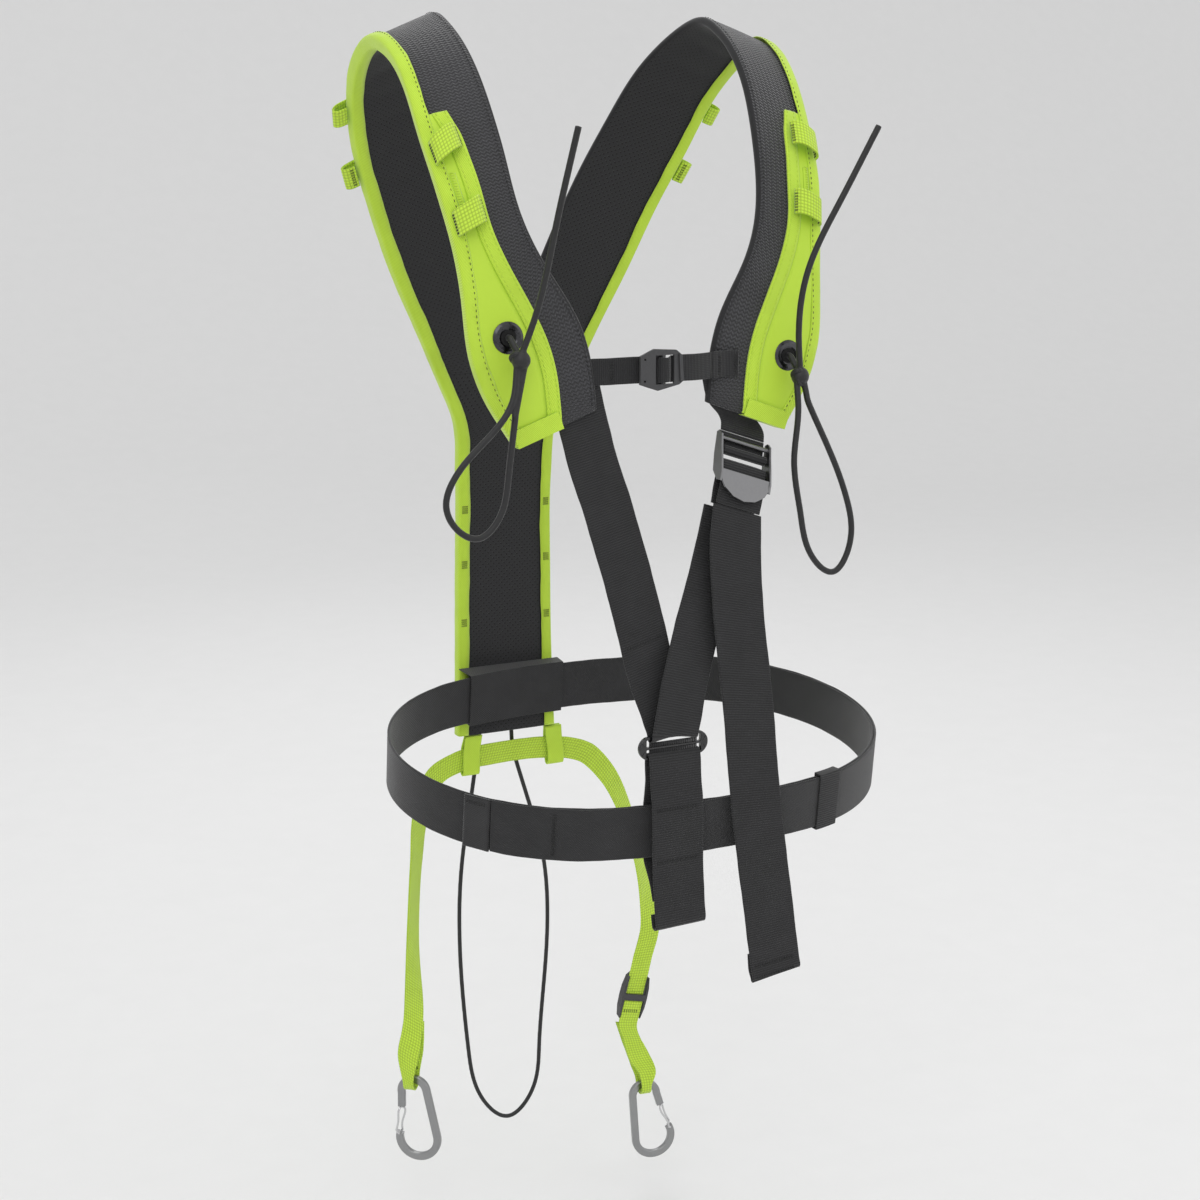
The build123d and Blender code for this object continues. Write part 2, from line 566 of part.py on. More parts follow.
def build_belt():
    half = BELT_PLY / 2
    belt = belt_band(belt_angles(INNER_END, TAB_HINGE + 0.15), lap_offset)
    save("waist_belt", belt.sheet(-half, half))
    tab = belt_band(belt_angles(TAB_HINGE - 0.15, TAB_END), lap_offset)
    save("belt_tab", tab.sheet(-half + 0.85, half + 0.9))
    hook = belt_band(belt_angles(TAB_HINGE - 1, TAB_END + 1), lap_offset)
    save("belt_hook_patch", hook.sheet(-half, -half + 0.6, margin_a=2, margin_b=2))
    wide, tall = BELT_WIDTH / 2 + 1.2, 1.1
    low, high = BELT_END_RADIUS - half - 0.6, BELT_END_RADIUS + BELT_LAP + half + 0.6
    outside = Pos((low + high) / 2, 0) * Rectangle(high - low + 2 * tall, 2 * (wide + tall))
    opening = Pos((low + high) / 2, 0) * Rectangle(high - low, 2 * wide)
    arc = 8.6
    section = Plane.XZ * (outside - opening)
    keeper = Rot(0, 0, KEEPER_ANGLE - arc / 2) * revolve(section, Axis.Z, arc)
    save("belt_keeper", BELT_PLANE * (Pos(END_OFFSET, 0, 0) * keeper))
    tunnel_tape = 1.0
    clear = 1.0              # air above and below the belt
    inner = -half - 1.6
    top_reach, bottom_reach = 10.2, 6.6              # out to the stem's face above and below
    tunnel_start, tunnel_angle, tunnel_steps = -259.0, 11.6, 4

    def tunnel_outline(s):
        angle = tunnel_start - tunnel_angle * s / tunnel_steps
        gap = SIDE_RADIUS * (1 - math.cos(math.radians(angle + 270)))
        top, bottom = top_reach + gap, bottom_reach + gap
        return [(0, -clear, top), (0, -clear - tunnel_tape, top), (0, -clear - tunnel_tape, inner),
                (1, clear + tunnel_tape, inner), (1, clear + tunnel_tape, bottom), (1, clear, bottom),
                (1, clear, inner + tunnel_tape), (0, -clear, inner + tunnel_tape)]

    angles = [tunnel_start - tunnel_angle * k / tunnel_steps for k in range(tunnel_steps + 1)]
    tunnel = belt_band(angles, lambda angle: 0.0)
    save("belt_tunnel", tunnel.solid(tunnel_outline))


# ---- leash, slider and carabiners ---------------------------------------------------------------
def heading(angle):
    """Horizontal facing direction, degrees from straight ahead towards the wearer's left."""
    a = math.radians(angle)
    return Vector(math.sin(a), -math.cos(a), 0)


RIGHT_HANG = (-98.0, 165.0, -338.0)      # centre of the right carabiner's top bar
RIGHT_TURN = -40.0
LEFT_HANG = (140.0, 165.0, -392.0)
LEFT_TURN = -8.0
FOLD = 9.2                               # webbing centre line round a carabiner bar
GATHER = 10.0                            # webbing width where it is gathered in a carabiner
LEASH_SLIDER = Vector(127, 165, -299)
SLIDER_AXIS = Vector(0.25, 0, 0.968).normalized()
LEASH_FRONT = 2.9                        # the webbing passes this far in front of the end bars
LOOP_FRONT = 4.7                         # the end loop's front ply lies on top of it
LEASH_PLY = 0.8                          # half the webbing's thickness
LEASH_WIDTH = 20.0
LEASH_PART_GATHERED = 17.0               # width just above a carabiner bar


def build_leash():
    """Webbing from the right carabiner, through both loops behind, to the leash slider."""
    out = heading(RIGHT_TURN)
    fold = turn(RIGHT_HANG, FOLD, 180, 360, 6, out)
    back = Vector(*RIGHT_HANG) - out * 6.5
    front = Vector(*RIGHT_HANG) + out * 6.5
    hem = [(back.X + 1.5, back.Y + 0.2, -284), (back.X + 0.8, back.Y + 0.6, -306)]
    rise = [(front.X, front.Y, -312), (-96.5, 162.5, -285), (-94.5, 164, -214), (-88, 167, -130),
            (-80, 170, -82), (-66, 172, -56), (-44, 172, -46)]
    middle = [(-20, 172, -43), (10, 172, -42), (38, 172, -43), (60, 172, -46)]
    end = [LEASH_SLIDER + SLIDER_AXIS * d + FRONT * LEASH_FRONT for d in (68, 40, 8, -10)]
    drop = [(82, 172, -54), (104, 171, -78), (122, 169, -117), (136, 168.3, -165),
            (143.5, 167.9, -205)]
    centres = hem + fold + rise + middle + drop + end
    gathered = range(len(hem), len(hem) + len(fold))
    turned = [out] * (gathered.stop + 1)
    twist = [0, 35, 38, 22, 5, 0] + [0] * len(middle) + [5, 20, 34, 40, 26] + [0] * len(end)
    facing = turned + [heading(angle) for angle in twist]
    points = [Vector(*p) for p in centres]
    sides = side_vectors(points, facing)
    bar = out.cross(Vector(0, 0, 1))
    bar = bar if sides[gathered.stop].dot(bar) > 0 else bar * -1
    sides[:gathered.stop + 1] = [bar] * (gathered.stop + 1)
    widths = [GATHER if i in gathered else LEASH_WIDTH for i in range(len(centres))]
    band = strap(centres, widths, sides=sides)
    save("leash_webbing", band.sheet(-LEASH_PLY, LEASH_PLY, per_station=2))


def build_leash_loops():
    """Two folded tapes below the stem that hold the leash."""
    loops = []
    for x in (-33.0, 50.0):
        lean = 0.06 * x
        front = [(x - lean, 167.0, -24), (x - lean / 2, 168.6, -34), (x, 168.8, -48)]
        fold = turn((x, 172, -56), 3.2, 0, -180, 5, FRONT)
        back = [(x, 175.2, -48), (x - lean / 2, 175.0, -34), (x - lean, 171.5, -24)]
        band = strap(front + fold + back, 16.0, sides=[Vector(1, 0, 0)] * (6 + len(fold)))
        loops.append(band.sheet(-0.6, 0.6, per_station=2))
    save("leash_loops", *loops)


def build_leash_end():
    """Slider and the doubled webbing that carries the left carabiner."""
    plane = Plane(origin=LEASH_SLIDER, x_dir=(SLIDER_AXIS.Z, 0, -SLIDER_AXIS.X), z_dir=FRONT)
    outline = [(-6, 25), (6, 25), (11, 20), (13, 10), (13.4, 0), (13, -10), (11, -20), (6, -25),
               (-6, -25), (-11, -20), (-13, -10), (-13.4, 0), (-13, 10), (-11, 20)]
    plate = make_face(Polyline(*outline, close=True))
    rails = plate - Rectangle(21.2, 60)
    window = plate - Pos(0, 11) * Rectangle(21.2, 17) - Pos(0, -11) * Rectangle(21.2, 17)
    body = Pos(0, 0, -1.5) * extrude(window - Rectangle(21.2, 6), 3.0)
    body += Pos(0, 0, -1.5) * extrude(rails, 8.0)
    body += Pos(0, 0, 4.3) * extrude(Rectangle(23, 6), 2.2)
    save("leash_slider", plane * body)
    out = heading(LEFT_TURN)
    fold = turn(LEFT_HANG, FOLD, 0, -180, 6, out)
    front_top = [LEASH_SLIDER + SLIDER_AXIS * d + FRONT * LOOP_FRONT for d in (-3.8, -10, -18, -27)]
    lean = Vector(*LEFT_HANG)
    front = [(124.5, 160.6, -340), (133, 159.6, -362), (lean.X, lean.Y - 8.0, -378)]
    back = [(lean.X, lean.Y + 8.0, -378), (134, 171.5, -358), (126, 171.0, -340), (122, 170.5, -328)]
    centres = front_top + front + fold + back
    widths = [LEASH_WIDTH] * (len(front_top) + len(front) - 1) + [LEASH_PART_GATHERED]
    widths += [GATHER] * len(fold) + [LEASH_PART_GATHERED] + [LEASH_WIDTH] * (len(back) - 1)
    plane_side = Vector(SLIDER_AXIS.Z, 0, -SLIDER_AXIS.X)
    bar = out.cross(Vector(0, 0, 1)) * -1
    hanging = Vector(0.97, 0, 0.24).normalized()
    sides = [plane_side] * 4 + [plane_side, hanging, bar] + [bar] * len(fold) + [bar, hanging]
    sides += [plane_side, plane_side]
    band = strap(centres, widths, sides=sides)
    save("leash_end_loop", band.sheet(-LEASH_PLY, LEASH_PLY, per_station=2))


TOP_ARC = (0.5, -12.0, 12.0)             # centre x, centre z, radius of the bar's centre line
BOTTOM_ARC = (6.5, -57.5, 18.0)
NOSE = (15.5, -25.0)
GATE_PIVOT = (23.2, -50.0)
GATE_CLOSED_END = (16.6, -27.6)


def carabiner_plane(hang, turned, tilt, flip):
    """Plane of a carabiner: x towards the gate, y up, origin at the top bar's centre."""
    across = heading(turned).cross(Vector(0, 0, 1)) * (1 if flip else -1)
    angle = math.radians(tilt)
    up = Vector(0, 0, 1)
    x_dir = across * math.cos(angle) + up * math.sin(angle)
    y_dir = across * -math.sin(angle) + up * math.cos(angle)
    return Plane(origin=hang, x_dir=x_dir, z_dir=x_dir.cross(y_dir))


def carabiner_body():
    """Open hook of flat bar, from the nose over the top, down the spine and round the bottom."""
    tx, tz, tr = TOP_ARC
    bx, bz, br = BOTTOM_ARC
    end = (bx + br * math.cos(0.45), bz + br * math.sin(0.45))
    path = Wire([Edge.make_line((*NOSE, 0), (tx + tr, tz, 0)),
                 Edge.make_three_point_arc((tx + tr, tz, 0), (tx, tz + tr, 0), (tx - tr, tz, 0)),
                 Edge.make_line((tx - tr, tz, 0), (bx - br, bz, 0)),
                 Edge.make_three_point_arc((bx - br, bz, 0), (bx, bz - br, 0), (*end, 0))])
    start = Plane(origin=path @ 0, x_dir=(0, 0, 1), z_dir=path % 0)
    bar = RectangleRounded(BAR_THICKNESS, BAR_WIDTH, 1.2)
    body = sweep(start * bar, path=path, transition=Transition.ROUND)
    body -= Pos(*GATE_PIVOT) * Cylinder(1.05, 20)
    return body


def carabiner_gate():
    """Sprung wire loop on a cross pin, closing against the nose."""
    px, pz = GATE_PIVOT
    cx, cz = GATE_CLOSED_END
    wire = 0.95
    side = BAR_THICKNESS / 2 + wire + 0.35
    legs = [(px - 1.2, pz, side), (px - 1.6, pz + 4, side), ((px + cx) / 2 - 1.2, (pz + cz) / 2, side - 0.4),
            (cx - 1.4, cz + 0.6, 1.6), (cx, cz + 1.6, 0), (cx + 1.2, cz + 0.6, -1.6),
            ((px + cx) / 2 + 1.4, (pz + cz) / 2, -side + 0.4), (px + 1.4, pz + 4, -side),
            (px + 1.0, pz, -side)]
    loop = cord(legs, wire)
    pin = Pos(px, pz) * Cylinder(wire, 2 * side)
    return loop + pin


def build_carabiners():
    placements = {"right": (RIGHT_HANG, RIGHT_TURN, -12.0, True), "left": (LEFT_HANG, LEFT_TURN, 4.0, False)}
    for side, placement in placements.items():
        plane = carabiner_plane(*placement)
        lower = Pos(-TOP_ARC[0], 0, 0)
        save(f"{side}_carabiner_body", plane * (lower * carabiner_body()))
        save(f"{side}_carabiner_gate", plane * (lower * carabiner_gate()))


# ---- elastic cords ------------------------------------------------------------------------------
CHEST_CORDS = {
    "right": {
        "knot": (-115, -133, 349),
        "free": [(-106, -136, 377), (-91, -142, 444), (-83, -146, 483), (-77, -150, 513)],
        "loop": [(-123, -137, 322), (-145, -140, 295), (-169, -142, 272), (-178, -142, 250),
                 (-170, -142, 232), (-153, -142, 224), (-138, -142, 236), (-129, -141, 268),
                 (-122, -138, 310)]},
    "left": {
        "knot": (118, -133, 325),
        "free": [(115, -135, 352), (119, -140, 406), (141, -145, 454), (172, -150, 512)],
        "loop": [(114, -138, 300), (110, -140, 262), (116, -141, 220), (128, -141, 184),
                 (147, -141, 171), (161, -141, 190), (158, -141, 227), (140, -140, 270),
                 (123, -137, 306)]}}
KNOT_RADIUS = 7.0


def build_cords():
    for side, route in CHEST_CORDS.items():
        plane = eyelet_plane(side)
        inside = plane.from_local_coords(Vector(0, 0, 1.0))
        mouth = plane.from_local_coords(Vector(0, 0, PANEL_LIFT[1] + 4.0))
        if side == "right":
            inside, mouth = (Vector(-p.X, p.Y, p.Z) for p in (inside, mouth))
        knot = Vector(*route["knot"])
        stub = rod(inside, mouth, CORD_RADIUS)
        neck = cord([mouth, (mouth + knot) * 0.5 + Vector(0, -0.5, 0), knot], CORD_RADIUS)
        free = cord([knot + Vector(0, 0, 3.0)] + route["free"], CORD_RADIUS)
        ends = [knot + Vector(x, 0, -2.5) for x in (-3.0, 3.0)]
        if route["loop"][0][0] > route["loop"][-1][0]:
            ends.reverse()
        loop = cord([ends[0]] + route["loop"] + [ends[1]], CORD_RADIUS)
        ball = Pos(*route["knot"]) * Sphere(KNOT_RADIUS)
        save(f"{side}_chest_cord", ball + stub + neck + free + loop)
    hang = [(-19, 178, -6), (-22, 181, -40), (-28, 182.5, -84), (-37, 183, -140), (-41, 183, -229),
            (-34, 183, -330), (-18, 183, -386), (7, 183, -405), (28, 183, -388), (38, 183, -340),
            (46, 183, -245), (44, 183, -156), (27, 182.5, -90), (13, 181, -44), (9, 178, -6)]
    save("back_cord", cord(hang, BACK_CORD_RADIUS))


build_yoke()
build_v_strap()
build_slider()
build_connector()
build_adjuster()
build_tail()
build_sternum()
build_belt()
build_leash()
build_leash_loops()
build_leash_end()
build_carabiners()
build_cords()
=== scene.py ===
import json
import math
import bmesh
import bpy
import numpy as np
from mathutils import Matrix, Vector


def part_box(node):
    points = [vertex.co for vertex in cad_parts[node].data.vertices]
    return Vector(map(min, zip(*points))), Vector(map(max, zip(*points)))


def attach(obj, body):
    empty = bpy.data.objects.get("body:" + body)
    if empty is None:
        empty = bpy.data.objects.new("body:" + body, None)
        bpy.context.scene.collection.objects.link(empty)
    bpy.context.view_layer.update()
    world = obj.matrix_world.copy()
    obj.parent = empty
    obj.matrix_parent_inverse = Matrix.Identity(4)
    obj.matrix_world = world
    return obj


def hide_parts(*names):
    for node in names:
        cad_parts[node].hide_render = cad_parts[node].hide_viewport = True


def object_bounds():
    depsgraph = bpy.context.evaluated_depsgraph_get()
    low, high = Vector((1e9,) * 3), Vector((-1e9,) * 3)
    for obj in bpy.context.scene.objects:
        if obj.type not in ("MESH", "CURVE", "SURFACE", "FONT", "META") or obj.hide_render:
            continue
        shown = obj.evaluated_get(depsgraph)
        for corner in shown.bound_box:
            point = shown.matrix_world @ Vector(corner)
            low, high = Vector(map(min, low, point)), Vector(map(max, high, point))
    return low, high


# Looks of a climbing harness: woven straps, padded shoulders, taped pockets, cords and metal parts.
# Metres. Every textile piece is built along the edge lines of the CAD solid it stands for.

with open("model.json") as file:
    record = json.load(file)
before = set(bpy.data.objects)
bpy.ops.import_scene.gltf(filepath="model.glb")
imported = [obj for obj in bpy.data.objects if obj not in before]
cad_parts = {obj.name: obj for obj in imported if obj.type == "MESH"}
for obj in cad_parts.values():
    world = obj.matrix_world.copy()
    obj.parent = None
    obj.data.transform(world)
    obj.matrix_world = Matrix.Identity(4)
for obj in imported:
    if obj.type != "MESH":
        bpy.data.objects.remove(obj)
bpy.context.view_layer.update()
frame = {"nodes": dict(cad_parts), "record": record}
NODES = frame["nodes"]
BODY_OF = {node: body for body, members in frame["record"]["behaviour"]["bodies"].items() for node in members}

MM = 0.001
STEP = 1.0 * MM              # spacing of cross-sections along a strap
PAD_STEP = 5.0 * MM          # spacing along a pad
SHARP = math.radians(48)     # CAD edges sharper than this bound a strap's faces
SLANTED = math.radians(28)    # the same where a piece ends on a slant
SMALLEST = 1e-6


# ---- lines and ribbons --------------------------------------------------------------------------
def lengths(vectors):
    return np.linalg.norm(vectors, axis=-1, keepdims=True)


def unit(vectors):
    return vectors / np.maximum(lengths(vectors), 1e-12)


def smooth_line(line, count):
    """Evenly spaced points on a smooth curve through a line's points."""
    gaps = lengths(np.diff(line, axis=0))[:, 0]
    line, gaps = np.vstack([line[:1], line[1:][gaps > SMALLEST]]), gaps[gaps > SMALLEST]
    reach = np.concatenate([[0], np.cumsum(gaps)])
    secants = np.diff(line, axis=0) / gaps[:, None]
    before, after = gaps[:-1, None], gaps[1:, None]
    inner = (secants[:-1] * after + secants[1:] * before) / (before + after)
    slopes = np.vstack([secants[:1], inner, secants[-1:]])
    at = np.linspace(0, reach[-1], count)
    k = np.clip(np.searchsorted(reach, at, side="right") - 1, 0, len(gaps) - 1)
    t, gap = ((at - reach[k]) / gaps[k])[:, None], gaps[k][:, None]
    ease = 3 * t ** 2 - 2 * t ** 3
    bend = slopes[k] * (t ** 3 - 2 * t ** 2 + t) + slopes[k + 1] * (t ** 3 - t ** 2)
    return line[k] * (1 - ease) + line[k + 1] * ease + bend * gap


def line_length(line):
    return float(lengths(np.diff(line, axis=0)).sum())


def sharp_links(node, sharp):
    """Welded points of a CAD node and, for each, the points it meets along sharp edges."""
    mesh = bmesh.new()
    mesh.from_mesh(NODES[node].data)
    bmesh.ops.remove_doubles(mesh, verts=mesh.verts, dist=SMALLEST)
    mesh.verts.index_update()
    links = {}
    for edge in mesh.edges:
        if len(edge.link_faces) == 2 and edge.calc_face_angle(0.0) > sharp:
            a, b = (v.index for v in edge.verts)
            links.setdefault(a, []).append(b)
            links.setdefault(b, []).append(a)
    points = np.array([v.co for v in mesh.verts])
    mesh.free()
    return links, points


def walk(links, corners, start, following):
    """Indices along a sharp line from one corner to the next."""
    path = [start, following]
    while path[-1] not in corners:
        onward = [v for v in links[path[-1]] if v != path[-2]]
        if not onward:
            return None
        path.append(onward[0])
    return path


def groups_of(links):
    """Sets of points that sharp edges join: one per solid of a node."""
    left, groups = set(links), []
    while left:
        group, edge = set(), [left.pop()]
        while edge:
            v = edge.pop()
            if v not in group:
                group.add(v)
                edge += links[v]
        left -= group
        groups.append(group)
    return groups


def strap_faces(node, sharp=SHARP):
    """For each solid of a strap node: the two edge lines of one face, and the way to the other face."""
    links, points = sharp_links(node, sharp)
    found = []
    for group in groups_of(links):
        corners = {v for v in group if len(links[v]) == 3}
        if len(corners) != 8:
            continue
        paths = {}
        for corner in corners:
            for following in links[corner]:
                path = walk(links, corners, corner, following)
                if path:
                    paths[frozenset((path[0], path[-1]))] = path
        ranked = sorted(paths.values(), key=lambda p: (len(p) > 2, line_length(points[p])), reverse=True)
        rails, caps = ranked[:4], ranked[4:]
        near = {v: {(p[0] if p[-1] == v else p[-1]) for p in caps if v in (p[0], p[-1])} for v in corners}
        first = rails[0][0]
        cap = {first}
        for _ in range(3):
            cap |= {w for v in cap for w in near[v]}
        from_cap = {p[0]: p for p in rails if p[0] in cap}
        from_cap.update({p[-1]: p[::-1] for p in rails if p[-1] in cap})
        partner = min(near[first], key=lambda v: np.linalg.norm(points[v] - points[first]))
        across = max(near[first], key=lambda v: np.linalg.norm(points[v] - points[first]))
        found.append((points[from_cap[first]], points[from_cap[across]], points[partner] - points[first]))
    if not found:
        raise ValueError(f"{node} has no strap-like solid")
    return found


class Ribbon:
    """The middle surface of a strap, or one face of it, between two matched edge lines."""

    def __init__(self, a, b, towards=None):
        self.a, self.b = a, b
        middle = (a + b) / 2
        self.across = unit(b - a)
        self.ahead = unit(np.gradient(middle, axis=0))
        self.normal = unit(np.cross(self.ahead, self.across))
        if towards is not None and float((self.normal * towards).sum(axis=-1).mean()) < 0:
            self.normal = -self.normal
        self.width = lengths(b - a)
        gaps = lengths(np.diff(middle, axis=0))[:, 0]
        self.along = np.concatenate([[0], np.cumsum(gaps)])
        self.count = len(a)

    def at(self, u, shift=0.0, lift=0.0):
        """Points u across (0 is edge a, 1 is edge b), then shift across and lift out."""
        shift, lift = np.reshape(shift, (-1, 1)), np.reshape(lift, (-1, 1))
        return self.a + (self.b - self.a) * u + self.across * shift + self.normal * lift

    def longer(self, reach):
        """The same ribbon carried on straight at both ends."""
        for name in ("a", "b"):
            line = getattr(self, name)
            start, stop = line[:1] - self.ahead[:1] * reach, line[-1:] + self.ahead[-1:] * reach
            setattr(self, name, np.vstack([start, line, stop]))
        for name in ("across", "ahead", "normal", "width"):
            values = getattr(self, name)
            setattr(self, name, np.vstack([values[:1], values, values[-1:]]))
        self.along = np.concatenate([[0], self.along + reach, [self.along[-1] + 2 * reach]])
        self.count += 2
        return self

    def part(self, start, stop):
        """The stretch between two lengths along the ribbon."""
        keep = (self.along >= start - 1e-9) & (self.along <= stop + 1e-9)
        piece = Ribbon(self.a[keep], self.b[keep])
        piece.normal, piece.across, piece.ahead = self.normal[keep], self.across[keep], self.ahead[keep]
        piece.along = self.along[keep]
        return piece


def middle_ribbons(node, step=STEP):
    """Middle surface and thickness of each solid of a strap node."""
    ribbons = []
    for a, b, through in strap_faces(node):
        count = max(8, math.ceil(line_length(a) / step))
        a, b = smooth_line(a, count), smooth_line(b, count)
        thickness = float(np.linalg.norm(through))
        face = Ribbon(a, b)
        if face.normal[0] @ through < 0:
            face.normal = -face.normal
        half = face.normal * (thickness / 2)
        middle = Ribbon(a + half, b + half)
        middle.normal = face.normal
        ribbons.append((middle, thickness))
    return ribbons


# ---- meshes -------------------------------------------------------------------------------------
def drift(along, size, reach, seed):
    """A slow seeded waviness along a strap."""
    local = np.random.default_rng(seed)
    total = np.zeros_like(along)
    for turn in (1.0, 1.9, 3.3):
        total += np.sin(along * (2 * math.pi * turn / reach) + local.uniform(0, 6.28)) / turn
    return total * (size / 2)


def new_object(name, points, faces, uv, materials, paint=None, smooth=True):
    """A mesh object from points, faces, a UV pair for each point and a material number for each face."""
    mesh = bpy.data.meshes.new(name)
    mesh.from_pydata([tuple(p) for p in points], [], faces)
    layer = mesh.uv_layers.new(name="cloth")
    corners = np.zeros(len(mesh.loops), dtype=np.int32)
    mesh.loops.foreach_get("vertex_index", corners)
    layer.data.foreach_set("uv", np.asarray(uv, np.float32)[corners].ravel())
    for material in materials:
        mesh.materials.append(material)
    if paint is not None:
        mesh.polygons.foreach_set("material_index", np.asarray(paint, dtype=np.int32))
    mesh.polygons.foreach_set("use_smooth", [smooth] * len(mesh.polygons))
    mesh.update()
    tidy = bmesh.new()
    tidy.from_mesh(mesh)
    bmesh.ops.recalc_face_normals(tidy, faces=tidy.faces)
    tidy.to_mesh(mesh)
    tidy.free()
    thing = bpy.data.objects.new(name, mesh)
    bpy.context.scene.collection.objects.link(thing)
    return thing


def sweep(name, ribbon, outline, materials, paint=None):
    """Closed skin along a ribbon. outline is a list of (u, shift, lift) corners round the section."""
    rings = np.stack([ribbon.at(*corner) for corner in outline], axis=1)
    across = np.stack([(ribbon.width[:, 0] * u + shift) * np.ones(ribbon.count) for u, shift, _ in outline], axis=1)
    uv = np.stack([np.repeat(ribbon.along[:, None], len(outline), axis=1), across], axis=-1)
    count, ring = ribbon.count, len(outline)
    faces, colours = [], []
    for i in range(count - 1):
        for j in range(ring):
            k = (j + 1) % ring
            faces.append((i * ring + j, i * ring + k, (i + 1) * ring + k, (i + 1) * ring + j))
            colours.append(paint[j] if paint else 0)
    faces.append(tuple(range(ring)))
    faces.append(tuple(range((count - 1) * ring, count * ring)))
    colours += [colours[0], colours[0]]
    return new_object(name, rings.reshape(-1, 3), faces, uv.reshape(-1, 2), materials, colours)


def strap_outline(ribbon, thickness, seed, selvedge=0.12, columns=6):
    """Section of a woven strap: rounded edges, a slightly thicker selvedge and a slow waviness."""
    half = thickness / 2
    width = float(ribbon.width.mean())
    wave = drift(ribbon.along, 0.10 * thickness, 0.11, seed)
    edge_wave = drift(ribbon.along, 0.25 * MM, 0.05, seed + 1)
    top = [(0, 0.05 * half + edge_wave, 0.35 * half), (0, 0.5 * half, 0.95 * half)]
    top.append((0, 1.6 * MM, (1 + selvedge) * half))
    for k in range(1, columns):
        top.append((k / columns, 0, half + wave * math.sin(math.pi * k / columns)))
    top.append((1, -1.6 * MM, (1 + selvedge) * half))
    top += [(1, -0.5 * half, 0.95 * half), (1, -0.05 * half + edge_wave, 0.35 * half)]
    bottom = [(u, shift, -half + (lift - half if k not in (0, 1, len(top) - 1, len(top) - 2) else half - lift))
              for k, (u, shift, lift) in enumerate(top)]
    return top + bottom[::-1]


def ride_as(thing, node, *others):
    """The piece rides on the node's body and stands for it and the others."""
    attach(thing, BODY_OF[node])
    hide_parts(node, *others)
    return thing


def woven_strap(node, material, seed, tacks=(), thread=None):
    """One visual strap for each solid of a strap node, with rows of stitches at shares of its length."""
    for number, (ribbon, thickness) in enumerate(middle_ribbons(node)):
        runs = []
        for share in tacks:
            index = int(share * (ribbon.count - 1))
            for face in (1, -1):
                runs += bartack(ribbon, index, face * (thickness / 2 + 0.12 * MM))
        if node in SEWN_ON:
            ribbon.longer(SEWN_ON[node])
        thing = sweep(f"{node}.cloth{number}", ribbon, strap_outline(ribbon, thickness, seed + number), [material])
        ride_as(thing, node)
        if runs:
            stitch_mesh(f"{node}.stitches{number}", runs, thread, BODY_OF[node])


def stitch_mesh(name, runs, material, body, radius=0.28 * MM):
    """Raised thread stitches. Each run is (points, normals, stitch length, gap)."""
    points, faces, uv = [], [], []
    for line, normals, length, gap in runs:
        reach = np.concatenate([[0], np.cumsum(lengths(np.diff(line, axis=0))[:, 0])])
        place = 0.0
        while place + length < reach[-1]:
            ends = [np.array([np.interp(place + d, reach, line[:, k]) for k in range(3)]) for d in (0, length)]
            out = np.array([np.interp(place + length / 2, reach, normals[:, k]) for k in range(3)])
            ahead = unit(ends[1] - ends[0])
            side = unit(np.cross(ahead, out))
            first = len(points)
            points.append(ends[0] - out * radius)
            for share in (0.22, 0.78):
                middle = ends[0] + (ends[1] - ends[0]) * share
                for corner in range(6):
                    angle = math.pi * corner / 3
                    points.append(middle + side * (radius * math.cos(angle)) + out * (radius * math.sin(angle)))
            points.append(ends[1] - out * radius)
            for corner in range(6):
                other = (corner + 1) % 6
                faces.append((first, first + 1 + corner, first + 1 + other))
                faces.append((first + 1 + corner, first + 7 + corner, first + 7 + other, first + 1 + other))
                faces.append((first + 13, first + 7 + other, first + 7 + corner))
            place += length + gap
    uv = np.zeros((len(points), 2))
    thing = new_object(name, points, faces, uv, [material])
    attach(thing, body)
    return thing


def seam_run(ribbon, u, shift, lift, length=2.8 * MM, gap=1.2 * MM):
    """A line of stitches along a ribbon."""
    return ribbon.at(u, shift, lift), ribbon.normal, length, gap


def bartack(ribbon, index, lift, reach=0.84):
    """Dense stitches across a ribbon: the runs of one bar tack."""
    runs = []
    facing = 1 if lift > 0 else -1
    for spot in (index - 1, index, index + 1):
        spot = min(max(spot, 0), ribbon.count - 1)
        u = np.linspace(0.5 - reach / 2, 0.5 + reach / 2, 30)[:, None]
        line = ribbon.a[spot] + (ribbon.b[spot] - ribbon.a[spot]) * u + ribbon.normal[spot] * lift
        out = np.repeat(ribbon.normal[spot][None] * facing, 30, axis=0)
        runs.append((line, out, 1.9 * MM, 0.3 * MM))
    return runs


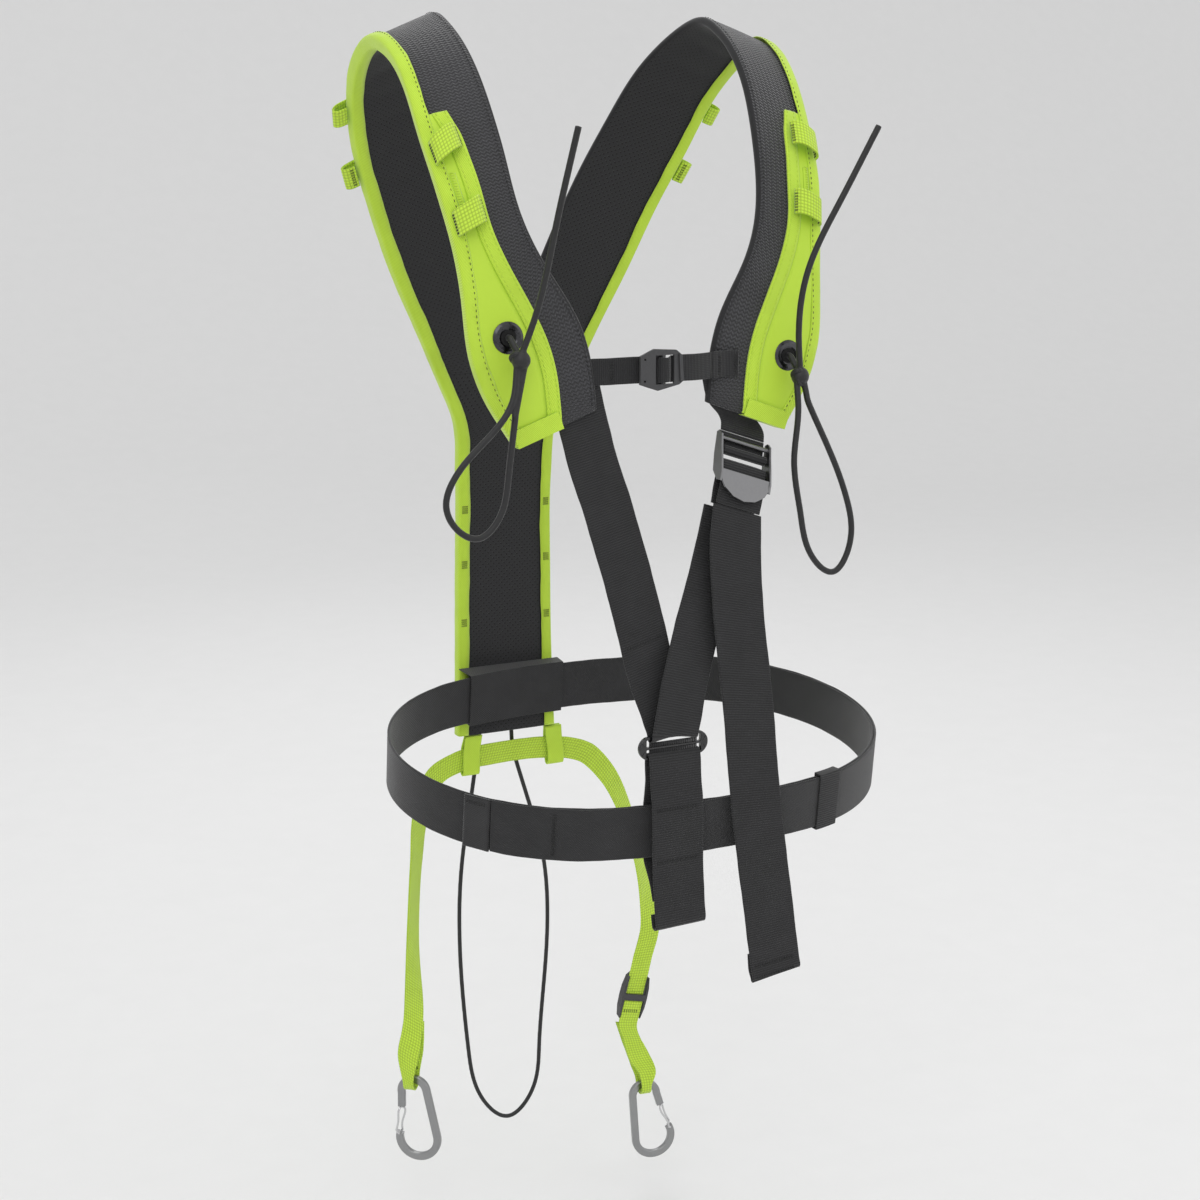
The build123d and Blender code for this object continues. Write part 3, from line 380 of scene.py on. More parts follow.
# ---- materials ----------------------------------------------------------------------------------
class Cloth:
    """A node material whose weave is worked out from the strap's own lengths, in millimetres."""

    def __init__(self, name, roughness=0.85, metallic=0.0, sheen=0.0):
        self.material = bpy.data.materials.new(name)
        self.material.use_nodes = True
        self.tree = self.material.node_tree
        self.shader = self.tree.nodes["Principled BSDF"]
        self.shader.inputs["Roughness"].default_value = roughness
        self.shader.inputs["Metallic"].default_value = metallic
        self.shader.inputs["Sheen Weight"].default_value = sheen
        self.shader.inputs["Sheen Roughness"].default_value = 0.4
        self.place = self.node("ShaderNodeTexCoord")
        split = self.node("ShaderNodeSeparateXYZ")
        self.tree.links.new(self.place.outputs["UV"], split.inputs[0])
        self.along = self.maths("MULTIPLY", split.outputs["X"], 1000.0)
        self.across = self.maths("MULTIPLY", split.outputs["Y"], 1000.0)

    def node(self, kind):
        return self.tree.nodes.new(kind)

    def maths(self, operation, *values):
        node = self.node("ShaderNodeMath")
        node.operation = operation
        for slot_number, value in enumerate(values):
            if isinstance(value, (int, float)):
                node.inputs[slot_number].default_value = value
            else:
                self.tree.links.new(value, node.inputs[slot_number])
        return node.outputs[0]

    def wave(self, value, pitch):
        """0 to 1 and back over each pitch."""
        turned = self.maths("SINE", self.maths("MULTIPLY", value, 2 * math.pi / pitch))
        return self.maths("MULTIPLY_ADD", turned, 0.5, 0.5)

    def noise(self, scale, detail=4.0):
        texture = self.node("ShaderNodeTexNoise")
        texture.inputs["Scale"].default_value = scale
        texture.inputs["Detail"].default_value = detail
        self.tree.links.new(self.place.outputs["Object"], texture.inputs["Vector"])
        return texture.outputs["Fac"]

    def colour(self, factor, dark, light):
        mix = self.node("ShaderNodeMix")
        mix.data_type = "RGBA"
        mix.inputs["A"].default_value = (*dark, 1)
        mix.inputs["B"].default_value = (*light, 1)
        self.tree.links.new(factor, mix.inputs["Factor"])
        self.tree.links.new(mix.outputs["Result"], self.shader.inputs["Base Color"])

    def relief(self, height, depth=0.3, strength=0.9):
        bump = self.node("ShaderNodeBump")
        bump.inputs["Distance"].default_value = depth * MM
        bump.inputs["Strength"].default_value = strength
        self.tree.links.new(height, bump.inputs["Height"])
        self.tree.links.new(bump.outputs["Normal"], self.shader.inputs["Normal"])


def ribbed(name, dark, light, pitch=1.9, roughness=0.8, sheen=0.25):
    """Cross-ribbed webbing."""
    cloth = Cloth(name, roughness, 0, sheen)
    rib = cloth.wave(cloth.along, pitch)
    yarn = cloth.wave(cloth.across, 1.3)
    height = cloth.maths("MULTIPLY", rib, cloth.maths("MULTIPLY_ADD", yarn, 0.4, 0.6))
    worn = cloth.maths("MULTIPLY", cloth.noise(60), 0.45)
    cloth.colour(cloth.maths("MULTIPLY_ADD", height, 0.7, worn), dark, light)
    cloth.relief(height, 0.35)
    return cloth.material


def chevron(name, dark, light, pitch=2.7):
    """Coarse webbing whose rows are small zig-zags."""
    cloth = Cloth(name, 0.62, 0, 0.35)
    bend = cloth.maths("PINGPONG", cloth.across, 2.2)
    row = cloth.wave(cloth.maths("ADD", cloth.along, cloth.maths("MULTIPLY", bend, 0.7)), pitch)
    column = cloth.wave(cloth.across, 2.2)
    height = cloth.maths("MULTIPLY", row, cloth.maths("MULTIPLY_ADD", column, 0.35, 0.65))
    worn = cloth.maths("MULTIPLY", cloth.noise(45), 0.35)
    cloth.colour(cloth.maths("MULTIPLY_ADD", height, 0.75, worn), dark, light)
    cloth.relief(height, 0.7)
    return cloth.material


def perforated(name, dark, light, pitch=5.0, hole=0.8):
    """Lining with staggered rows of small holes."""
    cloth = Cloth(name, 0.75, 0, 0.15)
    row = cloth.maths("FLOOR", cloth.maths("DIVIDE", cloth.across, pitch / 2))
    shifted = cloth.maths("MULTIPLY_ADD", cloth.maths("MODULO", row, 2.0), pitch / 2, cloth.along)
    dx = cloth.maths("SUBTRACT", cloth.maths("MODULO", shifted, pitch), pitch / 2)
    within = cloth.maths("SUBTRACT", cloth.across, cloth.maths("MULTIPLY", row, pitch / 2))
    dy = cloth.maths("SUBTRACT", within, pitch / 4)
    squares = cloth.maths("ADD", cloth.maths("MULTIPLY", dx, dx), cloth.maths("MULTIPLY", dy, dy))
    solid = cloth.maths("GREATER_THAN", squares, hole ** 2)
    grain = cloth.maths("MULTIPLY", cloth.noise(900), 0.35)
    cloth.colour(cloth.maths("MULTIPLY", solid, cloth.maths("ADD", grain, 0.6)), dark, light)
    cloth.relief(cloth.maths("ADD", solid, cloth.maths("MULTIPLY", grain, 0.2)), 0.4)
    return cloth.material


def twill(name, dark, light, pitch=1.6, slant=1.0, roughness=0.75, sheen=0.3, depth=0.25):
    """Diagonal weave."""
    cloth = Cloth(name, roughness, 0, sheen)
    row = cloth.wave(cloth.maths("MULTIPLY_ADD", cloth.across, slant, cloth.along), pitch)
    worn = cloth.maths("MULTIPLY", cloth.noise(50), 0.5)
    cloth.colour(cloth.maths("MULTIPLY_ADD", row, 0.6, worn), dark, light)
    cloth.relief(row, depth)
    return cloth.material


def basket(name, dark, light, pitch=2.6):
    """Open basket weave: little squares with darker gaps."""
    cloth = Cloth(name, 0.7, 0, 0.3)
    bars = cloth.maths("ABSOLUTE", cloth.maths("SINE", cloth.maths("MULTIPLY", cloth.along, math.pi / pitch)))
    posts = cloth.maths("ABSOLUTE", cloth.maths("SINE", cloth.maths("MULTIPLY", cloth.across, math.pi / pitch)))
    height = cloth.maths("POWER", cloth.maths("MULTIPLY", bars, posts), 0.5)
    worn = cloth.maths("MULTIPLY", cloth.noise(60), 0.25)
    cloth.colour(cloth.maths("MULTIPLY_ADD", height, 0.85, worn), dark, light)
    cloth.relief(height, 0.5)
    return cloth.material


def plain(name, dark, light, roughness=0.6, metallic=0.0, grain=300, depth=0.05, sheen=0.0, coat=0.0):
    """Metal, plastic, thread or smooth fabric with a fine grain and uneven wear."""
    cloth = Cloth(name, roughness, metallic, sheen)
    cloth.shader.inputs["Coat Weight"].default_value = coat
    fine, broad = cloth.noise(grain), cloth.noise(25)
    cloth.colour(cloth.maths("MULTIPLY_ADD", broad, 0.7, cloth.maths("MULTIPLY", fine, 0.3)), dark, light)
    rough = cloth.maths("MULTIPLY_ADD", broad, 0.16, roughness - 0.08)
    cloth.tree.links.new(rough, cloth.shader.inputs["Roughness"])
    cloth.relief(fine, depth)
    return cloth.material


BLACK, DARK = (0.0035, 0.0035, 0.004), (0.028, 0.028, 0.031)
LIME, LIME_SHADE = (0.60, 0.86, 0.06), (0.42, 0.62, 0.03)
webbing = ribbed("ribbed_black_webbing", (0.002, 0.002, 0.002), (0.027, 0.027, 0.029))
fine_webbing = ribbed("fine_black_webbing", BLACK, (0.024, 0.024, 0.026), 1.4)
coarse = chevron("coarse_black_webbing", (0.003, 0.003, 0.0035), (0.05, 0.05, 0.056))
lining = perforated("perforated_lining", (0.0, 0.0, 0.0), (0.022, 0.022, 0.024))
neck_fabric = plain("neck_fabric", BLACK, (0.016, 0.016, 0.018), 0.8, 0, 1200, 0.1, 0.3)
lime_tape = twill("lime_binding_tape", LIME_SHADE, LIME, 1.5, 0.9, 0.7, 0.35, 0.2)
lime_panel = plain("lime_pocket_fabric", (0.44, 0.65, 0.035), (0.54, 0.78, 0.045), 0.6, 0, 1500, 0.08, 0.3)
lime_webbing = basket("lime_webbing", (0.30, 0.44, 0.02), LIME)
twill_belt = twill("black_twill_belt", (0.002, 0.002, 0.002), (0.027, 0.027, 0.029), 1.8, 1.2)
hook_material = plain("hook_and_loop", (0.002, 0.002, 0.002), (0.012, 0.012, 0.012), 0.95, 0, 1500, 0.4)
cord_material = plain("black_elastic_cord", (0.003, 0.003, 0.0035), (0.014, 0.014, 0.015), 0.5, 0, 1400, 0.12, 0.2)
dark_thread = plain("dark_thread", (0.02, 0.025, 0.01), (0.05, 0.06, 0.02), 0.6)
lime_thread = plain("lime_thread", LIME_SHADE, (0.56, 0.75, 0.09), 0.6)
black_thread = plain("black_thread", (0.004, 0.004, 0.004), (0.03, 0.03, 0.03), 0.5)
nickel = plain("black_nickel", (0.035, 0.035, 0.038), (0.10, 0.10, 0.105), 0.22, 1.0, 400, 0.02)
gunmetal = plain("gunmetal_steel", (0.17, 0.17, 0.175), (0.25, 0.25, 0.255), 0.36, 1.0, 500, 0.03)
gloss_black = plain("gloss_black_metal", (0.006, 0.006, 0.007), (0.014, 0.014, 0.015), 0.24, 0.1, 400, 0.02, 0, 0.5)
plastic = plain("dark_grey_plastic", (0.03, 0.03, 0.032), (0.06, 0.06, 0.063), 0.48, 0, 1300, 0.12)
aluminium = plain("satin_aluminium", (0.27, 0.272, 0.275), (0.36, 0.363, 0.367), 0.32, 1.0, 600, 0.02)
gate_wire = plain("gate_wire_steel", (0.55, 0.55, 0.56), (0.68, 0.68, 0.69), 0.18, 1.0, 500, 0.01)


# ---- hard parts: the CAD nodes stay, with finish and softened edges ------------------------------
def finish_metal(node, material, edge=0.25 * MM):
    thing = NODES[node]
    thing.data.materials.clear()
    thing.data.materials.append(material)
    weld = thing.modifiers.new("weld", "WELD")
    weld.merge_threshold = SMALLEST
    bevel = thing.modifiers.new("edges", "BEVEL")
    bevel.width = edge
    bevel.segments = 3
    bevel.limit_method = "ANGLE"
    bevel.angle_limit = math.radians(35)
    bevel.harden_normals = True


HARD = {
    "v_slider": (gloss_black, 0.8 * MM), "adjuster_frame": (gunmetal, 0.35 * MM),
    "adjuster_bars": (gunmetal, 0.1 * MM), "sternum_hook": (plastic, 0.3 * MM),
    "sternum_buckle": (plastic, 0.6 * MM), "leash_slider": (plastic, 0.7 * MM),
    "right_carabiner_body": (aluminium, 0.1 * MM), "left_carabiner_body": (aluminium, 0.1 * MM),
    "right_carabiner_gate": (gate_wire, 0.05 * MM), "left_carabiner_gate": (gate_wire, 0.05 * MM),
    "right_eyelet": (nickel, 0.3 * MM), "left_eyelet": (nickel, 0.3 * MM),
    "right_eyelet_washer": (nickel, 0.15 * MM), "left_eyelet_washer": (nickel, 0.15 * MM)}
for hard_node, (finish, softened) in HARD.items():
    finish_metal(hard_node, finish, softened)


# ---- padded yoke --------------------------------------------------------------------------------
def matched(a, b, count):
    """Edge a in even steps, and for each step the nearest point of edge b further on."""
    a, dense = smooth_line(a, count), smooth_line(b, count * 6)
    found, low = [], 0
    for step, point in enumerate(a):
        expect = int(step * 6)
        first, last = max(low, expect - 160), min(len(dense), expect + 160)
        gaps = lengths(dense[first:last] - point)[:, 0]
        low = first + int(gaps.argmin())
        found.append(low)
    found[0], found[-1] = 0, len(dense) - 1
    places = np.array(found, float)
    kernel = np.ones(9) / 9
    padded = np.concatenate([2 * places[0] - places[4:0:-1], places, 2 * places[-1] - places[-2:-6:-1]])
    places = np.clip(np.convolve(padded, kernel, "valid"), 0, len(dense) - 1)
    low_index = places.astype(int)
    high_index = np.minimum(low_index + 1, len(dense) - 1)
    part = (places - low_index)[:, None]
    return a, dense[low_index] * (1 - part) + dense[high_index] * part


def body_centre(points):
    """From the wearer's middle out to each point."""
    out = points.copy()
    out[:, 2] = 0.0
    return unit(out)


def pad_face(node, step, outwards=True):
    """Outer face of a pad's layer: a is the arm edge, b the neck edge, the normal points away from the wearer."""
    (a, b, through), = strap_faces(node)
    if np.abs(a[:, 0]).mean() < np.abs(b[:, 0]).mean():
        a, b = b, a
    if a[0, 1] < a[-1, 1]:
        a, b = a[::-1], b[::-1]
    count = max(8, math.ceil(line_length(a) / step))
    a, b = matched(a, b, count)
    face = Ribbon(a, b, body_centre((a + b) / 2))
    start = face.normal[0] if np.linalg.norm(a[0] - strap_faces(node)[0][0][0]) < 0.1 else face.normal[-1]
    if float(start @ unit(through)) > 0.3:
        thickness = float(np.linalg.norm(through))
        moved = Ribbon(a + face.normal * thickness, b + face.normal * thickness)
        moved.normal = face.normal
        return moved
    return face


def pad_outline(ribbon, thickness, seed):
    """Section of a foam pad: flat cloth faces, rounded edges; a is the arm edge, b the neck edge."""
    crown = 0.5 * MM
    columns = 9
    sag = drift(ribbon.along, 0.5 * MM, 0.12, seed)
    front = [(k / columns, 0, -0.9 * MM + crown * math.sin(math.pi * k / columns) + sag * math.sin(math.pi * k / columns))
             for k in range(1, columns)]
    back = [(k / columns, 0, -thickness + 0.9 * MM - 0.6 * crown * math.sin(math.pi * k / columns))
            for k in range(columns - 1, 0, -1)]
    arm = [(0, 1.5 * MM, -thickness + 1.0 * MM), (0, 0.2 * MM, -thickness * 0.7), (0, 0.2 * MM, -thickness * 0.3),
           (0, 1.5 * MM, -1.0 * MM)]
    neck = [(1, -1.5 * MM, -1.0 * MM), (1, -0.2 * MM, -thickness * 0.3), (1, -0.2 * MM, -thickness * 0.7),
            (1, -1.5 * MM, -thickness + 1.0 * MM)]
    outline = arm + front + neck + back
    paint = [1] * 3 + [0] * (len(front) + 1) + [2] * 3 + [1] * (len(back) + 1)
    return outline, paint


def puff(thing, pinned, reach):
    """Cloth simulation: the skin blows up a little between its sewn edges, at most reach far."""
    mesh = thing.data
    rest = np.array([v.co for v in mesh.vertices])
    group = thing.vertex_groups.new(name="sewn")
    group.add([int(i) for i in pinned], 1.0, "REPLACE")
    cloth = thing.modifiers.new("puff", "CLOTH")
    cloth.settings.use_pressure = True
    cloth.settings.uniform_pressure_force = 4.0
    cloth.settings.effector_weights.gravity = 0.0
    cloth.settings.vertex_group_mass = "sewn"
    cloth.settings.quality = 5
    cloth.settings.tension_stiffness = 8
    cloth.settings.bending_stiffness = 1.0
    cloth.point_cache.frame_start = 1
    cloth.point_cache.frame_end = 20
    for number in range(1, 21):
        bpy.context.scene.frame_set(number)
    shaped = thing.evaluated_get(bpy.context.evaluated_depsgraph_get())
    moved = np.array([v.co for v in shaped.data.vertices]) - rest
    thing.modifiers.remove(cloth)
    bpy.context.scene.frame_set(1)
    size = lengths(moved)
    moved = moved * np.minimum(1.0, reach / np.maximum(size, 1e-9))
    for vertex, place in zip(mesh.vertices, rest + moved):
        vertex.co = place
    mesh.update()


def smooth_finish(thing, levels=1):
    """Subdivision on a finished soft mesh."""
    modifier = thing.modifiers.new("round", "SUBSURF")
    modifier.levels = levels
    modifier.render_levels = levels


PAD_THICKNESS = 8.6 * MM


def build_pad(prefix, members, seed):
    """One pad skin standing for its lining, foam and outer webbing."""
    ribbon = pad_face(f"{prefix}_outer", PAD_STEP).longer(1.2 * MM)
    outline, paint = pad_outline(ribbon, PAD_THICKNESS, seed)
    thing = sweep(f"{prefix}_pad", ribbon, outline, [coarse, lining, neck_fabric], paint)
    ring = len(outline)
    pinned = [i * ring + j for i in range(ribbon.count) for j in range(ring)
              if i in (0, ribbon.count - 1) or outline[j][0] in (0, 1)]
    puff(thing, pinned, 0.8 * MM)
    smooth_finish(thing)
    ride_as(thing, f"{prefix}_outer", *members)
    return ribbon


def joined(first, second):
    """Two ribbons end to end as one."""
    ribbon = Ribbon(np.vstack([first.a, second.a]), np.vstack([first.b, second.b]))
    ribbon.normal = unit(np.vstack([first.normal, second.normal]))
    ribbon.across = unit(np.vstack([first.across, second.across]))
    return ribbon


def softened(ribbon, size=9):
    """The same ribbon with its directions averaged over a few steps."""
    kernel = np.ones(size) / size
    for name in ("normal", "across", "ahead"):
        values = getattr(ribbon, name)
        padded = np.vstack([np.repeat(values[:1], size // 2, axis=0), values, np.repeat(values[-1:], size // 2, axis=0)])
        averaged = np.stack([np.convolve(padded[:, k], kernel, "valid") for k in range(3)], axis=1)
        setattr(ribbon, name, unit(averaged))
    return ribbon


def edge_frame(side):
    """The arm edge of one side of the yoke from the stem's foot to the pad's end, facing out."""
    stem = pad_face("stem_outer", 2 * MM)
    sign = 1 if side == "left" else -1
    arm, other = (stem.a, stem.b) if stem.a[:, 0].mean() * sign > 0 else (stem.b, stem.a)
    lower = Ribbon(arm, (arm + other) / 2, body_centre(arm))
    upper = pad_face(f"{side}_shoulder_outer", 2 * MM)
    return softened(joined(lower, upper), 11), upper


def binding_outline(ribbon, seed):
    """Folded tape round the edge, a touch wavy where it is sewn."""
    lip = 8.6 * MM + drift(ribbon.along, 0.5 * MM, 0.06, seed)
    wave = drift(ribbon.along, 0.3 * MM, 0.035, seed + 5)
    over, under = 2.2 * MM, -PAD_THICKNESS - 1.1 * MM
    tape = 0.8 * MM
    return [(0, lip, over - tape), (0, lip + 0.2 * MM, over - 0.2 * MM + wave), (0, lip - 1.2 * MM, over + 0.05 * MM + wave),
            (0, lip - 2.4 * MM, over - 0.1 * MM + wave), (0, lip * 0.4, over + 0.25 * MM + wave),
            (0, 0.2 * MM, over + wave * 0.5), (0, -1.0 * MM + wave * 0.5, over - 0.9 * MM),
            (0, -1.4 * MM, over - 2.6 * MM), (0, -1.4 * MM, under + 2.6 * MM), (0, -1.0 * MM, under + 0.9 * MM),
            (0, 0.2 * MM, under), (0, lip * 0.5, under - 0.1 * MM), (0, lip, under + 0.2 * MM), (0, lip, under + tape),
            (0, 1.0 * MM, under + tape), (0, 0.4 * MM, under + 2 * MM), (0, 0.4 * MM, over - 2 * MM),
            (0, 1.0 * MM, over - tape)]


def nearest_along(ribbon, point):
    """Index of the ribbon's step whose arm edge is nearest a point."""
    return int(lengths(ribbon.a - np.array(point))[:, 0].argmin())


def centre_of(node):
    low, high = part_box(node)
    return (low + high) / 2


def rounded_start(along, reach):
    """0 at the start of a pocket, rising round a quarter ellipse to 1 after reach."""
    share = np.clip(along / reach, 0, 1)
    return np.sqrt(1 - (1 - share) ** 2)


def build_pocket(side, ribbon, whole, seed):
    """Panel and border tape of one pocket, with their stitches."""
    panel_faces = strap_faces(f"{side}_pocket_panel", SLANTED)[0]
    ends = [panel_faces[0][0], panel_faces[0][-1]]
    top = max(ends, key=lambda p: p[2])
    start = nearest_along(ribbon, top)
    stretch = ribbon.part(ribbon.along[start], ribbon.along[-1])
    border_face = strap_faces(f"{side}_pocket_border", SLANTED)[0]
    lines = [line if line[0, 2] > line[-1, 2] else line[::-1] for line in border_face[:2]]
    lines.sort(key=lambda line: abs(line[len(line) // 2, 0]), reverse=True)
    inner = smooth_line(lines[0], stretch.count)
    reach = ((inner - stretch.a) * stretch.across).sum(axis=1)
    kernel = np.ones(15) / 15
    reach = np.convolve(np.pad(reach, 7, mode="edge"), kernel, "valid")
    width, under_tape, corner = 11 * MM, 7 * MM, 24 * MM
    outer = under_tape + (reach + width - under_tape) * rounded_start(stretch.along, corner + width)
    reach = under_tape + (reach - under_tape) * rounded_start(stretch.along - width, corner)
    bulge = (drift(stretch.along, 0.7 * MM, 0.09, seed) + 0.8 * MM) * np.clip((reach - under_tape) / corner, 0, 1)
    columns = 8
    low = 0.2 * MM
    outline = [(0, 1.0 * MM, low), (0, 1.0 * MM, 1.2 * MM)]
    for k in range(1, columns):
        share = k / columns
        outline.append((0, 1.0 * MM + (reach - 1.0 * MM) * share, 1.25 * MM + bulge * math.sin(math.pi * share) ** 2))
    outline += [(0, reach, 1.2 * MM), (0, reach, low)]
    panel = sweep(f"{side}_pocket.cloth", stretch, outline, [lime_panel])
    ride_as(panel, f"{side}_pocket_panel")
    wave = drift(stretch.along, 0.25 * MM, 0.05, seed + 3)
    width = outer - reach
    border = [(0, reach - 0.3 * MM, low), (0, reach - 0.4 * MM, 1.7 * MM), (0, reach + 0.4 * MM, 2.1 * MM + wave),
              (0, reach + width * 0.3, 1.9 * MM), (0, reach + width * 0.5, 2.15 * MM + wave),
              (0, reach + width * 0.8, 1.9 * MM), (0, outer - 0.4 * MM, 2.0 * MM + wave),
              (0, outer, 1.4 * MM), (0, outer, low)]
    tape = sweep(f"{side}_pocket_border.cloth", stretch, border, [lime_tape])
    ride_as(tape, f"{side}_pocket_border")
    runs = [seam_run(stretch, 0, reach + 2.0 * MM, 2.2 * MM), seam_run(stretch, 0, outer - 2.0 * MM, 2.2 * MM)]
    stitch_mesh(f"{side}_border_stitches", runs, lime_thread, "harness")
    return stretch, reach


def build_zip(side, stretch):
    """Zip along the binding between the two front gear loops: one tape with a row of small teeth."""
    loops = middle_ribbons(f"{side}_front_gear_loops", 2 * MM)
    spots = sorted(nearest_along(stretch, loop.a.mean(axis=0)) for loop, _ in loops)
    span = stretch.part(stretch.along[spots[0]] + 9 * MM, stretch.along[spots[1]] - 9 * MM)
    outline = [(0, 9.5 * MM, 1.2 * MM), (0, 9.5 * MM, 2.0 * MM), (0, 11.5 * MM, 2.5 * MM), (0, 13.5 * MM, 2.0 * MM),
               (0, 14.5 * MM, 1.3 * MM)]
    tape = sweep(f"{side}_zip_tape", span, outline, [lime_panel])
    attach(tape, "harness")
    line = span.at(0, 11.5 * MM, 2.6 * MM)
    dense = Ribbon(line - span.across * 1.6 * MM, line + span.across * 1.6 * MM)
    runs = []
    for k in range(0, dense.count - 1):
        runs.append((np.stack([dense.a[k], dense.b[k]]), np.stack([span.normal[k]] * 2), 2.9 * MM, 5 * MM))
    stitch_mesh(f"{side}_zip_teeth", runs, lime_thread, "harness", 0.5 * MM)


def build_yoke():
    build_pad("stem", ["stem_lining", "stem_foam"], 11)
    for number, side in enumerate(("left", "right")):
        seed = 30 + number * 20
        build_pad(f"{side}_shoulder", [f"{side}_shoulder_lining", f"{side}_shoulder_foam"], seed)
        whole, upper = edge_frame(side)
        binding = sweep(f"{side}_edge_binding.cloth", whole, binding_outline(whole, seed), [lime_tape])
        ride_as(binding, f"{side}_edge_binding")
        runs = [seam_run(whole, 0, 7.0 * MM, 2.3 * MM, 2.4 * MM, 1.8 * MM)]
        for height in (80 * MM, 133 * MM, 182 * MM):
            spot = int(np.abs(whole.a[:whole.count // 3, 2] - height).argmin())
            tack = whole.part(whole.along[spot], whole.along[min(spot + 4, whole.count - 1)])
            runs += [seam_run(tack, 0, shift * MM, -PAD_THICKNESS - 1.3 * MM, 1.6 * MM, 0.2 * MM)
                     for shift in (1.5, 2.6, 3.7, 4.8, 5.9)]
        stitch_mesh(f"{side}_binding_stitches", runs, dark_thread, "harness")
        stretch, _ = build_pocket(side, upper, whole, seed + 7)
        build_zip(side, stretch)
        neck = seam_run(upper, 1, -4.5 * MM, -0.55 * MM)
        stitch_mesh(f"{side}_neck_stitches", [neck], black_thread, "harness")


# ---- soft copies of the small sewn parts --------------------------------------------------------
def soft_copy(node, material, voxel=0.0, bevel=0.3 * MM, smoothing=0):
    """A rounded copy of a small textile solid, with a weave that follows its height."""
    mesh = NODES[node].data.copy()
    mesh.materials.clear()
    mesh.materials.append(material)
    thing = bpy.data.objects.new(f"{node}.cloth", mesh)
    bpy.context.scene.collection.objects.link(thing)
    weld = thing.modifiers.new("weld", "WELD")
    weld.merge_threshold = SMALLEST
    if voxel:
        remesh = thing.modifiers.new("skin", "REMESH")
        remesh.mode = "VOXEL"
        remesh.voxel_size = voxel
        remesh.use_smooth_shade = True
    else:
        rounded = thing.modifiers.new("edges", "BEVEL")
        rounded.width = bevel
        rounded.segments = 3
        rounded.limit_method = "ANGLE"
    if smoothing:
        relax = thing.modifiers.new("relax", "SMOOTH")
        relax.iterations = smoothing
    shaped = thing.evaluated_get(bpy.context.evaluated_depsgraph_get())
    done = bpy.data.meshes.new_from_object(shaped)
    thing.modifiers.clear()
    thing.data = done
    layer = done.uv_layers.new(name="height") if not done.uv_layers else done.uv_layers[0]
    for polygon in done.polygons:
        polygon.use_smooth = bool(voxel)
        sideways = 1 if abs(polygon.normal.x) > abs(polygon.normal.y) else 0
        for loop in polygon.loop_indices:
            place = done.vertices[done.loops[loop].vertex_index].co
            layer.data[loop].uv = (place.z, place[sideways])
    return ride_as(thing, node)


def second_ply():
    """The strap ends folded under in the slider's two slots."""
    centre = np.array(centre_of("v_slider"))
    for number, height in enumerate((-2.5 * MM, 2.5 * MM)):
        ends = np.array([[-20.0 * MM, 0, height], [0, 0, height], [20.0 * MM, 0, height]]) + centre
        rise = np.array([0, 0, 1.4 * MM])
        ply = Ribbon(ends - rise, ends + rise)
        thing = sweep(f"v_strap_ply{number}", ply, [(0, 0, -1.2 * MM), (0, 0, 1.2 * MM), (1, 0, 1.2 * MM),
                                                    (1, 0, -1.2 * MM)], [webbing])
        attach(thing, "harness")


def knot(side):
    """Overhand knot in a chest cord: a trefoil of cord pulled tight over the cord's own bulb."""
    centre = centre_of(f"{side}_eyelet") + Vector((0.001, -0.0205, -0.014))
    curve = bpy.data.curves.new(f"{side}_knot_line", "CURVE")
    curve.dimensions = "3D"
    curve.bevel_depth = 2.2 * MM
    curve.bevel_resolution = 5
    curve.resolution_u = 6
    spline = curve.splines.new("NURBS")
    count = 36
    spline.points.add(count - 1)
    for k in range(count):
        t = 2 * math.pi * k / count
        x = math.sin(t) + 2 * math.sin(2 * t)
        y = math.cos(t) - 2 * math.cos(2 * t)
        z = -math.sin(3 * t)
        spline.points[k].co = (centre.x + x * 1.7 * MM, centre.y + z * 2.6 * MM, centre.z + y * 2.1 * MM, 1)
    spline.use_cyclic_u = True
    thing = bpy.data.objects.new(f"{side}_knot", curve)
    bpy.context.scene.collection.objects.link(thing)
    done = bpy.data.meshes.new_from_object(thing.evaluated_get(bpy.context.evaluated_depsgraph_get()))
    bpy.data.objects.remove(thing)
    done.materials.clear()
    done.materials.append(cord_material)
    for polygon in done.polygons:
        polygon.use_smooth = True
    thing = bpy.data.objects.new(f"{side}_knot", done)
    bpy.context.scene.collection.objects.link(thing)
    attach(thing, BODY_OF[f"{side}_chest_cord"])


def eyelet_shadow(side):
    """Painted shadow: a dark disc set just inside an eyelet, round the cord, standing for the shade there."""
    node = f"{side}_eyelet"
    places = np.array([NODES[node].matrix_world @ v.co for v in NODES[node].data.vertices])
    centre = places.mean(axis=0)
    normal = np.linalg.svd(places - centre)[2][2]
    normal = normal if normal[1] < 0 else -normal
    front = float(((places - centre) @ normal).max())
    side_way = unit(np.cross(normal, (0, 0, 1)))
    turns = np.linspace(0, 2 * math.pi, 32, endpoint=False)[:, None]
    rim = centre + normal * (front - 0.7 * MM)
    rim = rim + (side_way * np.cos(turns) + np.cross(normal, side_way) * np.sin(turns)) * 6.5 * MM
    # Painted shadow: a near-black disc in the hook-and-loop material, sitting just behind the eyelet's front.
    disc = new_object(f"{side}_eyelet_shadow", rim, [tuple(range(32))], rim[:, ::2], [hook_material])
    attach(disc, BODY_OF[node])


def build_small_parts():
    for node in ("left_pocket_end_tape", "right_pocket_end_tape"):
        soft_copy(node, lime_tape, bevel=0.4 * MM)
    soft_copy("belt_keeper", webbing, bevel=0.35 * MM)
    soft_copy("belt_tunnel", twill_belt, bevel=0.35 * MM)
    for node in ("left_chest_cord", "right_chest_cord", "back_cord"):
        soft_copy(node, cord_material, voxel=0.9 * MM, smoothing=3)
    second_ply()
    for side in ("left", "right"):
        knot(side)
        eyelet_shadow(side)


